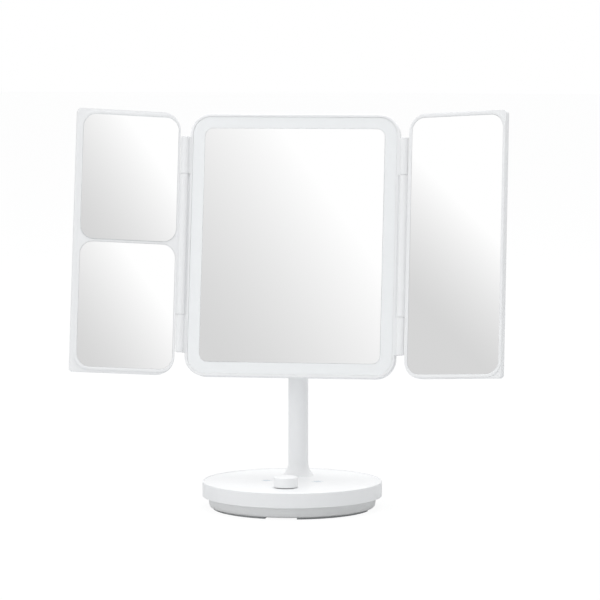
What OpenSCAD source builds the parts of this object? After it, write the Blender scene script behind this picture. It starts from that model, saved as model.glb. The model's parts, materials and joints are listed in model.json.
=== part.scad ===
// Trifold vanity mirror on a round lamp base, millimetres.
// X runs to the right, Y to the back and Z up. The origin is the centre of the footprint.

/* [Base] */
// Diameter of the upper disc
base_d = 150; // [140:1:190]
// Height of the upper disc's side
disc_h = 13; // [11.5:0.5:20]
// Height of the smaller step under the disc
step_h = 8.5; // [8:0.5:14]
// How far the step stands in from the disc's side
step_inset = 4.5; // [3:0.5:8]
// How much the step narrows towards its bottom
step_taper = 1.5; // [0.5:0.5:3]
// Radius of the step's bottom edge
step_edge_r = 1.5; // [0.5:0.5:1.5]
// Height of the raised rim round the tray
rim_h = 0.6; // [0.4:0.1:1.5]
// Width of the raised rim
rim_w = 1.6; // [1.4:0.1:3]
// Radius of the rim's outer edge
rim_edge_r = 0.8; // [0.3:0.1:1]
// Wall of the base mouldings
base_wall = 2.2; // [1.6:0.1:2.6]
// Thickness of the tray's top
tray_t = 2.4; // [1.8:0.1:3]
// Thickness of the bottom cover's floor
floor_t = 2; // [1.6:0.1:2.4]

/* [Feet and screws of the base] */
// Height that each rubber foot stands out
foot_h = 1.5; // [1:0.5:4]
// Width of each curved rubber foot
foot_w = 8; // [5:0.5:10]
// Gap between the ends of two feet
foot_gap = 26; // [16:1:50]
// Distance of the feet from the edge of the step's flat bottom
foot_margin = 1; // [0.8:0.1:3]
// Depth of the seat that each foot is glued in
foot_seat = 0.8; // [0.4:0.1:1]
// Distance of the base screws from the step's inner wall
boss_inset = 16.6; // [14:0.2:18]
// Outer radius of the screw bosses
boss_r = 3.8; // [3.2:0.1:4.5]
// Radius of a base screw's shank
screw_r = 1.4; // [1:0.1:1.6]

/* [Parts inside the base] */
// Thickness of the steel weight
ballast_t = 4; // [2:0.5:5]
// Length of the battery, front to back
battery_l = 52; // [40:1:54]
// Width of the battery
battery_w = 32; // [20:1:34]
// Thickness of the battery
battery_t = 6; // [4:0.5:7]
// Distance of the battery from the weight's edge
battery_inset = 10.6; // [9:0.2:12]
// Width of the control board
pcb_w = 36; // [32:1:42]
// Depth of the control board
pcb_l = 30; // [26:1:31]
// Thickness of the circuit boards
pcb_t = 1.6; // [1:0.2:2]
// Width of the charging socket's shell
usb_w = 9; // [8.8:0.1:9.6]
// Height of the charging socket's shell
usb_h = 3.2; // [3:0.1:3.6]
// Length of the charging socket's shell
usb_l = 8; // [7:0.5:10]

/* [Dimmer knob] */
// Distance of the knob in front of the centre
knob_y = 38.5; // [36:0.5:44]
// Diameter of the knob
knob_d = 20; // [17:0.2:26]
// Height of the knob
knob_h = 8.4; // [7:0.2:14]
// Gap between the knob and the tray
knob_gap = 0.6; // [0.6:0.1:2]
// Travel of the knob when it is pressed
press_travel = 0.4; // [0.2:0.1:0.5]
// Wall of the knob
knob_wall = 1.6; // [1.2:0.1:2]
// Radius of the knob's top edge
knob_edge_r = 0.9; // [0.3:0.1:1.1]
// Radius of the dimmer's shaft
shaft_r = 3; // [2.5:0.1:3.2]

/* [Stem] */
// Distance of the stem behind the centre
stem_y = 36; // [34:0.5:40]
// Outer diameter of the stem
stem_d = 16.8; // [16:0.2:19]
// Wall of the stem
stem_wall = 2; // [1.5:0.1:2.5]
// How much wider the flared foot is than the stem, on each side
flare_w = 4.9; // [3:0.1:7]
// Height of the flare
flare_h = 11; // [8:0.5:14]
// Height of the head's tilt axis above the table
pivot_z = 213; // [190:1:260]

/* [Tilt joint] */
// How far the head leans back as it stands
head_tilt = 10.5; // [0:0.5:20]
// Distance from the tilt axis to the head's front face
front_reach = 38; // [37:0.5:46]
// Radius of the yoke's ears
ear_r = 9; // [8.6:0.1:10]
// Thickness of each ear
ear_t = 5.6; // [5:0.1:7]
// Width of the lug between the ears
lug_w = 8; // [6:0.5:10]
// Thickness of a friction washer
washer_t = 0.7; // [0.4:0.1:1.2]
// Radius of the tilt bolt
bolt_r = 2.5; // [2:0.1:3]
// Width of the bracket's plate
bracket_w = 46; // [44:1:60]
// Height of the bracket's plate
bracket_h = 40; // [38:1:50]
// Thickness of the bracket's plate
bracket_t = 3; // [2:0.5:3.5]

/* [Centre panel] */
// Width of the centre panel
panel_w = 176; // [160:1:200]
// Height of the centre panel and of the wings
panel_h = 219.8; // [200:0.2:240]
// Radius of the centre panel's corners
panel_r = 17; // [12:0.5:17.5]
// Thickness of the centre panel
panel_t = 14; // [13:0.5:15]
// Depth of the front frame's side wall
frame_depth = 9; // [8:0.5:9.5]
// Width of the rim round the light ring
panel_rim = 2.2; // [1.8:0.1:2.6]
// Width of the light ring beside the centre mirror
ring_side_w = 10.2; // [8:0.1:16]
// Width of the light ring above and below the centre mirror
ring_end_w = 9.9; // [8:0.1:16]
// Radius of the centre mirror's corners
mirror_r = 6.7; // [4:0.1:9]
// Thickness of the centre mirror
mirror_t = 3; // [2:0.1:3.2]
// Thickness of the light ring's diffuser
diffuser_t = 2; // [1.5:0.1:2.5]
// Pitch of the light-emitting diodes
led_pitch = 12; // [10:0.5:16]

/* [Wings] */
// How far each wing stands forward of the centre panel's plane
wing_open = 19.5; // [5:0.5:60]
// Gap left between each folded wing and the middle of the centre panel
fold_gap = 1.3; // [0.6:0.1:10]
// Thickness of a wing
wing_t = 8; // [7:0.5:9]
// Depth of a wing's front frame
wing_frame_t = 5; // [4.5:0.1:5.5]
// Radius of the wing's corners beside the hinge
wing_inner_r = 15; // [12:0.5:17]
// Radius of the wing's outer corners
wing_outer_r = 3; // [2:0.5:6]
// Thickness of the plain wing mirrors
wing_glass_t = 2; // [1.6:0.1:2.2]
// Depth of the plain wing mirrors under the frame's front
glass_sink = 0.4; // [0.2:0.1:0.6]
// How far the magnifying mirror stands out of the frame
magnifier_proud = 0.4; // [0:0.1:0.6]
// Radius of the wing mirrors' corners
wing_mirror_r = 11; // [6:0.5:12]
// Frame between the left mirrors and the hinge side
left_inner_margin = 1.9; // [1.6:0.1:3]
// Frame between the left mirrors and the wing's outer edge
left_outer_margin = 5.4; // [2.5:0.1:12]
// Gap between the left wing's two mirrors
left_mirror_gap = 2.2; // [2:0.1:6]
// Frame above and below the left wing's mirrors
left_end_margin = 4.5; // [3:0.1:8]
// Frame between the right mirror and the hinge side
right_inner_margin = 3; // [2.5:0.1:8]
// Frame between the right mirror and the wing's outer edge
right_outer_margin = 2.4; // [2.2:0.1:8]
// Frame above and below the right mirror
right_end_margin = 3.4; // [2.5:0.1:8]

/* [Hinges] */
// Gap between the centre panel's side and a hinge barrel
barrel_gap = 1.1; // [0.8:0.1:2]
// Radius of the hinge barrels
barrel_r = 3.2; // [2.8:0.1:3.6]
// How far the hinge axes stand in front of the centre panel
hinge_out = 1.5; // [1.2:0.1:2]
// Distance from the start of the centre panel's corners to the hinge's ends
hinge_inset = 2.4; // [0:0.1:12]
// Length of each end knuckle, which the centre panel carries
end_knuckle_l = 31.4; // [20:0.1:50]
// Gap between two knuckles
knuckle_gap = 0.3; // [0.2:0.1:0.6]
// Radius of the hinge pins
pin_r = 1; // [0.8:0.1:1.3]

/* [Clearances] */
// Radial gap of a piece that turns or slides in a bore
running_gap = 0.05; // [0.03:0.01:0.08]
// Gap round a piece that is let into its seat
fit_gap = 0.2; // [0.1:0.05:0.3]
// Thickness of the adhesive foam behind each mirror
foam_t = 0.5; // [0.3:0.1:0.6]

/* [Hidden] */
$fn = 96;
// A cut is made this much longer than the wall it goes through
over = 1;
// Heights in the base, from the table up
step_z = foot_h;
disc_z = step_z + step_h;
rim_z = disc_z + disc_h;
tray_z = rim_z - rim_h;
tray_under_z = tray_z - tray_t;
floor_z = step_z + floor_t;
ballast_z = floor_z + ballast_t;
// Radii in the base
disc_r = base_d / 2;
disc_inner_r = disc_r - base_wall;
step_r = disc_r - step_inset;
step_inner_r = step_r - step_taper - base_wall - fit_gap;
flange_r = disc_inner_r - fit_gap;
flange_h = 2;
// Screw pads of the bottom cover
pad_h = 4;
pad_r = boss_r + 0.8;
pad_z = step_z + pad_h;
screw_head_r = 2 * screw_r;
screw_head_h = 1.8;
screw_sink = 2.2;
screw_gap = 0.1;
screw_l = 10;
boss_ring_r = step_inner_r - boss_inset;
foot_outer_r = step_r - step_taper - step_edge_r - foot_margin;
// Circuit boards
pcb_lift = 2;
pcb_z = ballast_z + pcb_lift;
pcb_top_z = pcb_z + pcb_t;
pcb_screw_r = 1;
pcb_screw_l = 6;
pcb_screw_head_h = 1.2;
pcb_boss_r = 2.5;
pcb_screw_x = pcb_w / 2 - 4;
pcb_screw_y = pcb_l / 2 - 4;
charge_board_w = 16;
charge_board_l = 13;
charge_board_z = disc_z + flange_h + 0.4;
socket_z = charge_board_z + pcb_t;
socket_y = disc_r - 1;
charge_board_y = disc_inner_r - fit_gap - 1.6;
charge_post_r = 2.5;
ballast_r = step_inner_r - 2;
notch_w = charge_board_w + 2;
usb_r = 1;
usb_shell_t = 0.4;
usb_back_t = 1;
battery_r = 2;
notch_y = charge_board_y - charge_board_l - 2;
// Dimmer
knob_r = knob_d / 2;
knob_z = tray_z + knob_gap;
knob_top_z = knob_z + knob_h;
dimmer_w = 12;
dimmer_body_h = 4.5;
dimmer_top_z = pcb_top_z + dimmer_body_h;
bushing_r = shaft_r + 0.6;
bushing_z = tray_z - 0.4;
cavity_z = pcb_top_z + 0.8;
dome_t = 0.15;
plunger_h = 1;
plunger_z = cavity_z + dome_t + press_travel + 0.05;
shaft_z = plunger_z + plunger_h;
hub_z = knob_z + 1;
shaft_top_z = knob_top_z - knob_wall - 0.4;
flat_x = 0.8 * shaft_r;
// Stem
stem_r = stem_d / 2;
stem_bore_r = stem_r - stem_wall;
flare_r = stem_r + flare_w;
flare_arc_r = (flare_h * flare_h + flare_w * flare_w) / (2 * flare_w);
tail_r = stem_r - 1;
tail_bore_r = 3;
nut_h = 4;
nut_r = flare_r - 0.5;
tail_z = tray_under_z - nut_h - 0.5;
cable_r = 1.6;
wire_t = 1;
wire_w = 4;
cable_z = ballast_z + wire_t;
// Yoke
slot_w = lug_w + 2 * washer_t + 2 * running_gap;
yoke_w = slot_w + 2 * ear_t;
slot_depth = ear_r + 2;
neck_r = yoke_w / 2;
neck_h = 8;
cheek_r = neck_r + 2;
cone_h = 7;
stem_top_z = pivot_z - slot_depth - neck_h - cone_h;
spigot_h = 18;
cap_r = 5;
cap_t = 1;
bolt_head_r = 4.5;
bolt_head_h = 2.4;
cap_seat = cap_t + bolt_head_h;
washer_r = 7;
lug_r = ear_r - 0.5;
lug_half_h = lug_r - 1;
// Head, with depths counted from its front face
back_t = 2;
shell_inner_d = panel_t - back_t;
back_edge = 2;
// A rounded back edge is drawn as two chamfers that meet this far in
back_mid = 0.3 * back_edge;
mirror_w = panel_w - 2 * (panel_rim + ring_side_w);
mirror_h = panel_h - 2 * (panel_rim + ring_end_w);
ledge_w = 1.6;
ledge_t = 1.6;
diffuser_d = 0.35;
ledge_d = diffuser_d + diffuser_t;
mirror_d = 0.2;
mirror_foam_d = mirror_d + mirror_t;
foam_inset = 5;
foam_r = 4;
carrier_d = mirror_foam_d + foam_t;
carrier_t = 2;
carrier_inset = 0.6;
post_r = 4;
post_x = mirror_w / 2 - 12;
post_y = mirror_h / 2 - 14;
post_pilot_l = 5.5;
post_rows = [-1, 0, 1];
lip_t = 1.2;
lip_depth = 2.4;
opening_w = panel_w - 2 * panel_rim;
opening_h = panel_h - 2 * panel_rim;
opening_r = panel_r - panel_rim;
led_board_t = 1.6;
led_board_d = shell_inner_d - led_board_t;
led_board_band = 9;
led_t = 0.8;
led_size = 2.8;
board_seat = fit_gap + 0.1;
led_centre = (panel_w - opening_w) / 2 + fit_gap + led_board_band / 2;
led_row_w = panel_w - 2 * led_centre;
led_row_h = panel_h - 2 * led_centre;
led_corner = opening_r;
lead_w = 5;
lead_t = 0.6;
head_screw_r = 1.3;
head_screw_head_r = 2.6;
head_screw_sink = 1.2;
bracket_screw_r = 1.5;
bracket_screw_head_r = 2.8;
bracket_screw_head_h = 1.8;
bracket_screw_x = bracket_w / 2 - 6;
bracket_screw_y = bracket_h / 2 - 6;
backing_t = 1.5;
backing_r = 3;
bracket_r = 5;
// Hinges and wings
hinge_x = panel_w / 2 + barrel_gap + barrel_r;
hinge_l = panel_h - 2 * panel_r - 2 * hinge_inset;
wing_reach = hinge_x - fold_gap;
knuckle_l = hinge_l - 2 * end_knuckle_l;
pin_inset = 1;
arm_d0 = 0.4;
wing_inner = barrel_r + 0.4;
pocket_floor = glass_sink + wing_glass_t + foam_t;
magnifier_t = pocket_floor - foam_t + magnifier_proud;
wing_edge = 1.5;
wing_mid = 0.3 * wing_edge;
wing_hollow_r = 1;
wing_back_wall = 1.6;
left_s0 = wing_inner + left_inner_margin;
left_s1 = wing_reach - left_outer_margin;
left_mirror_h = (panel_h - 2 * left_end_margin - left_mirror_gap) / 2;
left_mirror_z = (left_mirror_gap + left_mirror_h) / 2;
right_s0 = wing_inner + right_inner_margin;
right_s1 = wing_reach - right_outer_margin;
right_mirror_h = panel_h - 2 * right_end_margin;

white = [0.93, 0.94, 0.95];
shade_white = [0.80, 0.81, 0.82];
silvered = [0.90, 0.92, 0.93];
frosted = [0.96, 0.96, 0.94];
steel = [0.68, 0.69, 0.71];
rubber_black = [0.12, 0.12, 0.13];
board_green = [0.10, 0.38, 0.22];
cell_blue = [0.20, 0.36, 0.62];
wire_grey = [0.30, 0.30, 0.32];
foam_grey = [0.45, 0.46, 0.48];
led_yellow = [0.98, 0.90, 0.55];
brass_yellow = [0.78, 0.64, 0.34];

function arc(cx, cy, r, a0, a1, n = 12) =
    [for (i = [0 : n]) [cx + r * cos(a0 + (a1 - a0) * i / n), cy + r * sin(a0 + (a1 - a0) * i / n)]];

// ---- Shared shapes ----

// Rectangle from x0 to x1 with one corner radius on each side
module rounded(x0, x1, h, r0, r1) {
    translate([x0 + r0, -h / 2]) square([x1 - x0 - r0 - r1, h]);
    translate([x0, r0 - h / 2]) square([r0, h - 2 * r0]);
    translate([x1 - r1, r1 - h / 2]) square([r1, h - 2 * r1]);
    for (side = [-1, 1]) {
        translate([x0 + r0, side * (h / 2 - r0)]) circle(r0);
        translate([x1 - r1, side * (h / 2 - r1)]) circle(r1);
    }
}

// The same rectangle stood upright, from depth d0 to depth d1
module upright(x0, x1, h, r0, r1, d0, d1) {
    translate([0, d1, 0]) rotate([90, 0, 0]) linear_extrude(d1 - d0) rounded(x0, x1, h, r0, r1);
}

module panel_plate(w, h, r, d0, d1) {
    upright(-w / 2, w / 2, h, r, r, d0, d1);
}

module panel_ring(w, h, r, band, d0, d1) {
    difference() {
        panel_plate(w, h, r, d0, d1);
        panel_plate(w - 2 * band, h - 2 * band, r - band, d0 - over, d1 + over);
    }
}

// Rod along the depth of the head, round x and z
module depth_rod(x, z, r, d0, d1) {
    translate([x, d1, z]) rotate([90, 0, 0]) cylinder(r = r, h = d1 - d0);
}

// Rod along X, centred on the tilt axis
module cross_rod(r, x0, x1) {
    translate([x0, 0, 0]) rotate([0, 90, 0]) cylinder(r = r, h = x1 - x0);
}

// Moves the head's own axes, which start at the tilt axis, to their place
module at_pivot() {
    translate([0, stem_y, pivot_z]) rotate([-head_tilt, 0, 0]) children();
}

// The same axes, with depths counted from the head's front face
module at_head() {
    at_pivot() translate([0, -front_reach, 0]) children();
}

// A wing's own axes start at its hinge: X runs to its outer edge, Y to its back
module at_right_wing() {
    at_head() translate([hinge_x, -hinge_out, 0]) rotate([0, 0, -wing_open]) children();
}

module at_left_wing() {
    at_head() mirror([1, 0, 0]) translate([hinge_x, -hinge_out, 0]) rotate([0, 0, -wing_open]) children();
}

module at_bosses() {
    for (a = [45 : 90 : 315]) rotate([0, 0, a]) translate([boss_ring_r, 0, 0]) children();
}

module at_board_screws() {
    for (x = [-1, 1], y = [-1, 1])
        translate([x * pcb_screw_x, y * pcb_screw_y - knob_y, 0]) children();
}

// Four arcs of a ring, parted by a cross-shaped gap and grown all round
module foot_arcs(grow, z0, z1) {
    difference() {
        translate([0, 0, z0]) cylinder(r = foot_outer_r + grow, h = z1 - z0);
        translate([0, 0, z0 - over]) cylinder(r = foot_outer_r - foot_w - grow, h = z1 - z0 + 2 * over);
        for (a = [0, 90]) rotate([0, 0, a]) translate([grow - foot_gap / 2, -disc_r, z0 - over])
            cube([foot_gap - 2 * grow, base_d, z1 - z0 + 2 * over]);
    }
}

module at_charge_posts() {
    for (x = [-1, 1])
        translate([x * (charge_board_w / 2 - 3), charge_board_y - charge_board_l + 3, 0]) children();
}

module at_knob() {
    translate([0, -knob_y, 0]) children();
}

module at_stem() {
    translate([0, stem_y, 0]) children();
}

module panel_posts(r, d0, d1) {
    for (x = [-1, 1], row = post_rows) depth_rod(x * post_x, row * post_y, r, d0, d1);
}

module bracket_holes(r, d0, d1) {
    for (x = [-1, 1], z = [-1, 1]) depth_rod(x * bracket_screw_x, z * bracket_screw_y, r, d0, d1);
}

// ---- Base ----

module base_tray() {
    color(white) difference() {
        union() {
            rotate_extrude() polygon(concat(
                [[0, tray_under_z], [disc_inner_r, tray_under_z], [disc_inner_r, disc_z], [disc_r, disc_z]],
                arc(disc_r - rim_edge_r, rim_z - rim_edge_r, rim_edge_r, 0, 90),
                [[disc_r - rim_w + rim_h / 2, rim_z], [disc_r - rim_w - rim_h / 2, tray_z], [0, tray_z]]));
            at_bosses() translate([0, 0, pad_z]) cylinder(r = boss_r, h = tray_under_z - pad_z);
            at_board_screws() translate([0, 0, pcb_top_z]) cylinder(r = pcb_boss_r, h = tray_under_z - pcb_top_z);
        }
        at_bosses() translate([0, 0, pad_z - over]) cylinder(r = screw_r + screw_gap, h = screw_l + over);
        at_board_screws() translate([0, 0, pcb_top_z - over])
            cylinder(r = pcb_screw_r + screw_gap, h = pcb_screw_l + over);
        at_knob() translate([0, 0, tray_under_z - over]) cylinder(r = bushing_r + fit_gap, h = tray_t + 2 * over);
        at_stem() translate([0, 0, tray_under_z - over]) cylinder(r = tail_r + fit_gap, h = tray_t + 2 * over);
        translate([0, disc_r + over, socket_z + usb_h / 2]) rotate([90, 0, 0])
            linear_extrude(base_wall + 3 * over)
                rounded(-usb_w / 2 - fit_gap, usb_w / 2 + fit_gap, usb_h + 2 * fit_gap,
                    usb_r + fit_gap, usb_r + fit_gap);
    }
}

module base_bottom() {
    color(shade_white) difference() {
        union() {
            rotate_extrude() polygon(concat(
                [[0, floor_z], [0, step_z]],
                arc(step_r - step_taper - step_edge_r, step_z + step_edge_r, step_edge_r, -90, 0),
                [[step_r, disc_z], [flange_r, disc_z], [flange_r, disc_z + flange_h],
                    [step_inner_r, disc_z + flange_h], [step_inner_r, floor_z]]));
            at_bosses() translate([0, 0, step_z + floor_t / 2]) cylinder(r = pad_r, h = pad_h - floor_t / 2);
            at_charge_posts() translate([0, 0, step_z + floor_t / 2])
                cylinder(r = charge_post_r, h = charge_board_z - step_z - floor_t / 2);
        }
        at_bosses() translate([0, 0, step_z - over]) cylinder(r = screw_r + 2 * screw_gap, h = pad_h + 2 * over);
        at_bosses() translate([0, 0, step_z - over]) cylinder(r = screw_head_r + fit_gap, h = screw_sink + over);
        foot_arcs(fit_gap, step_z - over, step_z + foot_seat);
    }
}

module ballast_plate() {
    color(steel) difference() {
        translate([0, 0, floor_z]) cylinder(r = ballast_r, h = ballast_t);
        at_bosses() translate([0, 0, floor_z - over]) cylinder(r = pad_r + fit_gap, h = ballast_t + 2 * over);
        translate([-notch_w / 2, notch_y, floor_z - over]) cube([notch_w, disc_r, ballast_t + 2 * over]);
    }
}

module rubber_feet() {
    color(rubber_black) foot_arcs(0, 0, step_z + foot_seat);
}

module base_screws() {
    color(steel) at_bosses() translate([0, 0, step_z + screw_sink]) {
        translate([0, 0, -screw_head_h]) cylinder(r = screw_head_r, h = screw_head_h);
        cylinder(r = screw_r, h = screw_l);
    }
}

module control_board() {
    color(board_green) difference() {
        translate([-pcb_w / 2, -knob_y - pcb_l / 2, pcb_z]) cube([pcb_w, pcb_l, pcb_t]);
        at_board_screws() translate([0, 0, pcb_z - over])
            cylinder(r = pcb_screw_r + screw_gap, h = pcb_t + 2 * over);
    }
}

module board_screws() {
    color(steel) at_board_screws() translate([0, 0, pcb_z]) {
        translate([0, 0, -pcb_screw_head_h]) cylinder(r = 2 * pcb_screw_r, h = pcb_screw_head_h);
        cylinder(r = pcb_screw_r, h = pcb_screw_l);
    }
}

module battery() {
    color(cell_blue) translate([battery_inset - ballast_r, 0, ballast_z])
        linear_extrude(battery_t) rounded(0, battery_w, battery_l, battery_r, battery_r);
}

module charge_board() {
    color(board_green) translate([-charge_board_w / 2, charge_board_y - charge_board_l, charge_board_z])
        cube([charge_board_w, charge_board_l, pcb_t]);
}

module charge_socket() {
    color(steel) difference() {
        translate([0, socket_y, socket_z + usb_h / 2]) rotate([90, 0, 0])
            linear_extrude(usb_l) rounded(-usb_w / 2, usb_w / 2, usb_h, usb_r, usb_r);
        translate([0, socket_y + over, socket_z + usb_h / 2]) rotate([90, 0, 0])
            linear_extrude(usb_l - usb_back_t + over)
                rounded(usb_shell_t - usb_w / 2, usb_w / 2 - usb_shell_t, usb_h - 2 * usb_shell_t,
                    usb_r - usb_shell_t, usb_r - usb_shell_t);
    }
}

module dimmer_body() {
    color(steel) difference() {
        at_knob() union() {
            translate([-dimmer_w / 2, -dimmer_w / 2, pcb_top_z]) cube([dimmer_w, dimmer_w, dimmer_body_h]);
            translate([0, 0, pcb_top_z + over]) cylinder(r = bushing_r, h = bushing_z - pcb_top_z - over);
        }
        at_knob() translate([0, 0, cavity_z]) cylinder(r = shaft_r + running_gap, h = knob_z - cavity_z);
    }
}

module switch_dome() {
    color(brass_yellow) at_knob() translate([0, 0, cavity_z]) cylinder(r = shaft_r - fit_gap, h = dome_t);
}

module switch_plunger() {
    color(rubber_black) at_knob() translate([0, 0, plunger_z]) cylinder(r = shaft_r, h = plunger_h);
}

module dimmer_shaft() {
    color(steel) at_knob() difference() {
        translate([0, 0, shaft_z]) cylinder(r = shaft_r, h = shaft_top_z - shaft_z);
        translate([flat_x, -shaft_r, hub_z]) cube([shaft_r, 2 * shaft_r, knob_h]);
    }
}

module dimmer_knob() {
    color(white) at_knob() difference() {
        union() {
            rotate_extrude() polygon(concat(
                [[0, knob_top_z - knob_wall], [knob_r - knob_wall, knob_top_z - knob_wall],
                    [knob_r - knob_wall, knob_z], [knob_r, knob_z]],
                arc(knob_r - knob_edge_r, knob_top_z - knob_edge_r, knob_edge_r, 0, 90),
                [[0, knob_top_z]]));
            translate([0, 0, hub_z]) cylinder(r = shaft_r + knob_wall, h = knob_top_z - knob_wall - hub_z);
        }
        difference() {
            translate([0, 0, hub_z - over]) cylinder(r = shaft_r + running_gap, h = shaft_top_z - hub_z + over);
            translate([flat_x + running_gap, -shaft_r - over, hub_z - 2 * over])
                cube([shaft_r + over, 2 * shaft_r + 2 * over, knob_h + 2 * over]);
        }
    }
}

module base_wires() {
    color(wire_grey) translate([-wire_w / 2, -knob_y, ballast_z])
        cube([wire_w, knob_y + stem_y + cable_r, wire_t]);
}

// ---- Stem and tilt joint ----

module stem_tube() {
    color(white) at_stem() rotate_extrude() polygon(concat(
        [[tail_bore_r, tail_z], [tail_r, tail_z], [tail_r, tray_z], [flare_r, tray_z]],
        arc(stem_r + flare_arc_r, tray_z + flare_h, flare_arc_r,
            180 + asin(flare_h / flare_arc_r), 180, 16),
        [[stem_r, stem_top_z], [stem_bore_r, stem_top_z], [stem_bore_r, tray_z + 2 * stem_wall],
            [tail_bore_r, tray_z + 2 * stem_wall]]));
}

module stem_nut() {
    color(brass_yellow) at_stem() difference() {
        translate([0, 0, tray_under_z - nut_h]) cylinder(r = nut_r, h = nut_h, $fn = 6);
        translate([0, 0, tray_under_z - nut_h - over]) cylinder(r = tail_r + running_gap, h = nut_h + 2 * over);
    }
}

module stem_cable() {
    color(wire_grey) at_stem() translate([0, 0, cable_z])
        cylinder(r = cable_r, h = pivot_z - slot_depth - cable_z);
}

module tilt_yoke() {
    color(white) difference() {
        translate([0, stem_y, pivot_z]) union() {
            cross_rod(ear_r, -yoke_w / 2, yoke_w / 2);
            intersection() {
                translate([-yoke_w / 2, -ear_r, -slot_depth - over]) cube([yoke_w, 2 * ear_r, slot_depth + over]);
                translate([0, 0, -slot_depth - over]) cylinder(r = cheek_r, h = slot_depth + 2 * over);
            }
            translate([0, 0, -slot_depth - neck_h]) cylinder(r = neck_r, h = neck_h);
            translate([0, 0, -slot_depth - neck_h - cone_h]) cylinder(r1 = stem_r, r2 = neck_r, h = cone_h);
            translate([0, 0, -slot_depth - neck_h - cone_h - spigot_h])
                cylinder(r = stem_bore_r - running_gap, h = spigot_h + over);
        }
        translate([-slot_w / 2, stem_y - 2 * ear_r, pivot_z - slot_depth])
            cube([slot_w, 4 * ear_r, slot_depth + 2 * ear_r]);
        translate([0, stem_y, pivot_z]) {
            cross_rod(bolt_r + running_gap, -yoke_w, yoke_w);
            for (side = [0, 1]) mirror([side, 0, 0])
                cross_rod(cap_r + fit_gap, yoke_w / 2 - cap_seat, yoke_w / 2 + over);
        }
        at_stem() translate([0, 0, stem_top_z - spigot_h - over])
            cylinder(r = cable_r + fit_gap, h = pivot_z - slot_depth - stem_top_z + spigot_h + 2 * over);
    }
}

module tilt_bolt() {
    color(steel) translate([0, stem_y, pivot_z]) {
        cross_rod(bolt_head_r, cap_seat - bolt_head_h - yoke_w / 2, cap_seat - yoke_w / 2);
        cross_rod(bolt_r, cap_seat - yoke_w / 2, yoke_w / 2 - cap_t);
    }
}

module tilt_nut() {
    color(steel) translate([0, stem_y, pivot_z]) difference() {
        translate([yoke_w / 2 - cap_seat, 0, 0]) rotate([0, 90, 0])
            cylinder(r = bolt_head_r, h = bolt_head_h, $fn = 6);
        cross_rod(bolt_r + running_gap, 0, yoke_w);
    }
}

module friction_washers() {
    color(brass_yellow) translate([0, stem_y, pivot_z]) for (side = [0, 1]) mirror([side, 0, 0]) difference() {
        cross_rod(washer_r, slot_w / 2 - washer_t, slot_w / 2);
        cross_rod(bolt_r + running_gap, 0, slot_w);
    }
}

module yoke_caps() {
    color(white) translate([0, stem_y, pivot_z]) for (side = [0, 1]) mirror([side, 0, 0])
        cross_rod(cap_r, yoke_w / 2 - cap_t, yoke_w / 2);
}

module tilt_bracket() {
    color(white) difference() {
        union() {
            at_head() upright(-bracket_w / 2, bracket_w / 2, bracket_h, bracket_r, bracket_r,
                panel_t, panel_t + bracket_t);
            at_head() translate([-lug_w / 2, panel_t + bracket_t / 2, -lug_half_h])
                cube([lug_w, front_reach - panel_t - bracket_t / 2, 2 * lug_half_h]);
            at_pivot() cross_rod(lug_r, -lug_w / 2, lug_w / 2);
        }
        at_pivot() cross_rod(bolt_r + running_gap, -lug_w, lug_w);
        at_head() bracket_holes(bracket_screw_r + screw_gap, panel_t - over, panel_t + bracket_t + over);
    }
}

module bracket_screws() {
    color(steel) at_head() {
        bracket_holes(bracket_screw_head_r, panel_t + bracket_t, panel_t + bracket_t + bracket_screw_head_h);
        bracket_holes(bracket_screw_r, shell_inner_d - backing_t, panel_t + bracket_t);
    }
}

module backing_plate() {
    color(steel) at_head() difference() {
        panel_plate(bracket_w, bracket_h, backing_r, shell_inner_d - backing_t, shell_inner_d);
        bracket_holes(bracket_screw_r + screw_gap, shell_inner_d - backing_t - over, shell_inner_d + over);
    }
}

// ---- Centre panel ----

// The two short knuckles and their arms on the right of the frame
module end_knuckles() {
    for (side = [0, 1]) mirror([0, 0, side]) translate([0, 0, hinge_l / 2 - end_knuckle_l]) {
        translate([hinge_x, -hinge_out, 0]) cylinder(r = barrel_r, h = end_knuckle_l);
        translate([panel_w / 2 - panel_rim / 2, 0, 0])
            cube([hinge_x - panel_w / 2 + panel_rim / 2, barrel_r - hinge_out, end_knuckle_l]);
        translate([panel_w / 2, arm_d0 - hinge_out, 0])
            cube([hinge_x - panel_w / 2, hinge_out, end_knuckle_l]);
    }
}

module centre_frame() {
    color(white) at_head() difference() {
        union() {
            panel_ring(panel_w, panel_h, panel_r, panel_rim, 0, frame_depth);
            panel_ring(panel_w - panel_rim, panel_h - panel_rim, panel_r - panel_rim / 2,
                panel_rim / 2 + ledge_w, ledge_d, ledge_d + ledge_t);
            for (side = [0, 1]) mirror([side, 0, 0]) end_knuckles();
        }
        for (side = [0, 1]) mirror([side, 0, 0]) translate([hinge_x, -hinge_out, -hinge_l])
            cylinder(r = pin_r + running_gap / 2, h = 2 * hinge_l);
    }
}

module light_diffuser() {
    color(frosted) at_head() difference() {
        panel_plate(opening_w - 2 * fit_gap, opening_h - 2 * fit_gap, opening_r - fit_gap, diffuser_d, ledge_d);
        panel_plate(mirror_w + 2 * fit_gap, mirror_h + 2 * fit_gap, mirror_r + fit_gap,
            diffuser_d - over, ledge_d + over);
    }
}

module centre_mirror() {
    color(silvered) at_head() panel_plate(mirror_w, mirror_h, mirror_r, mirror_d, mirror_foam_d);
}

module centre_mirror_foam() {
    color(foam_grey) at_head() panel_plate(mirror_w - 2 * foam_inset, mirror_h - 2 * foam_inset, foam_r,
        mirror_foam_d, carrier_d);
}

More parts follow.
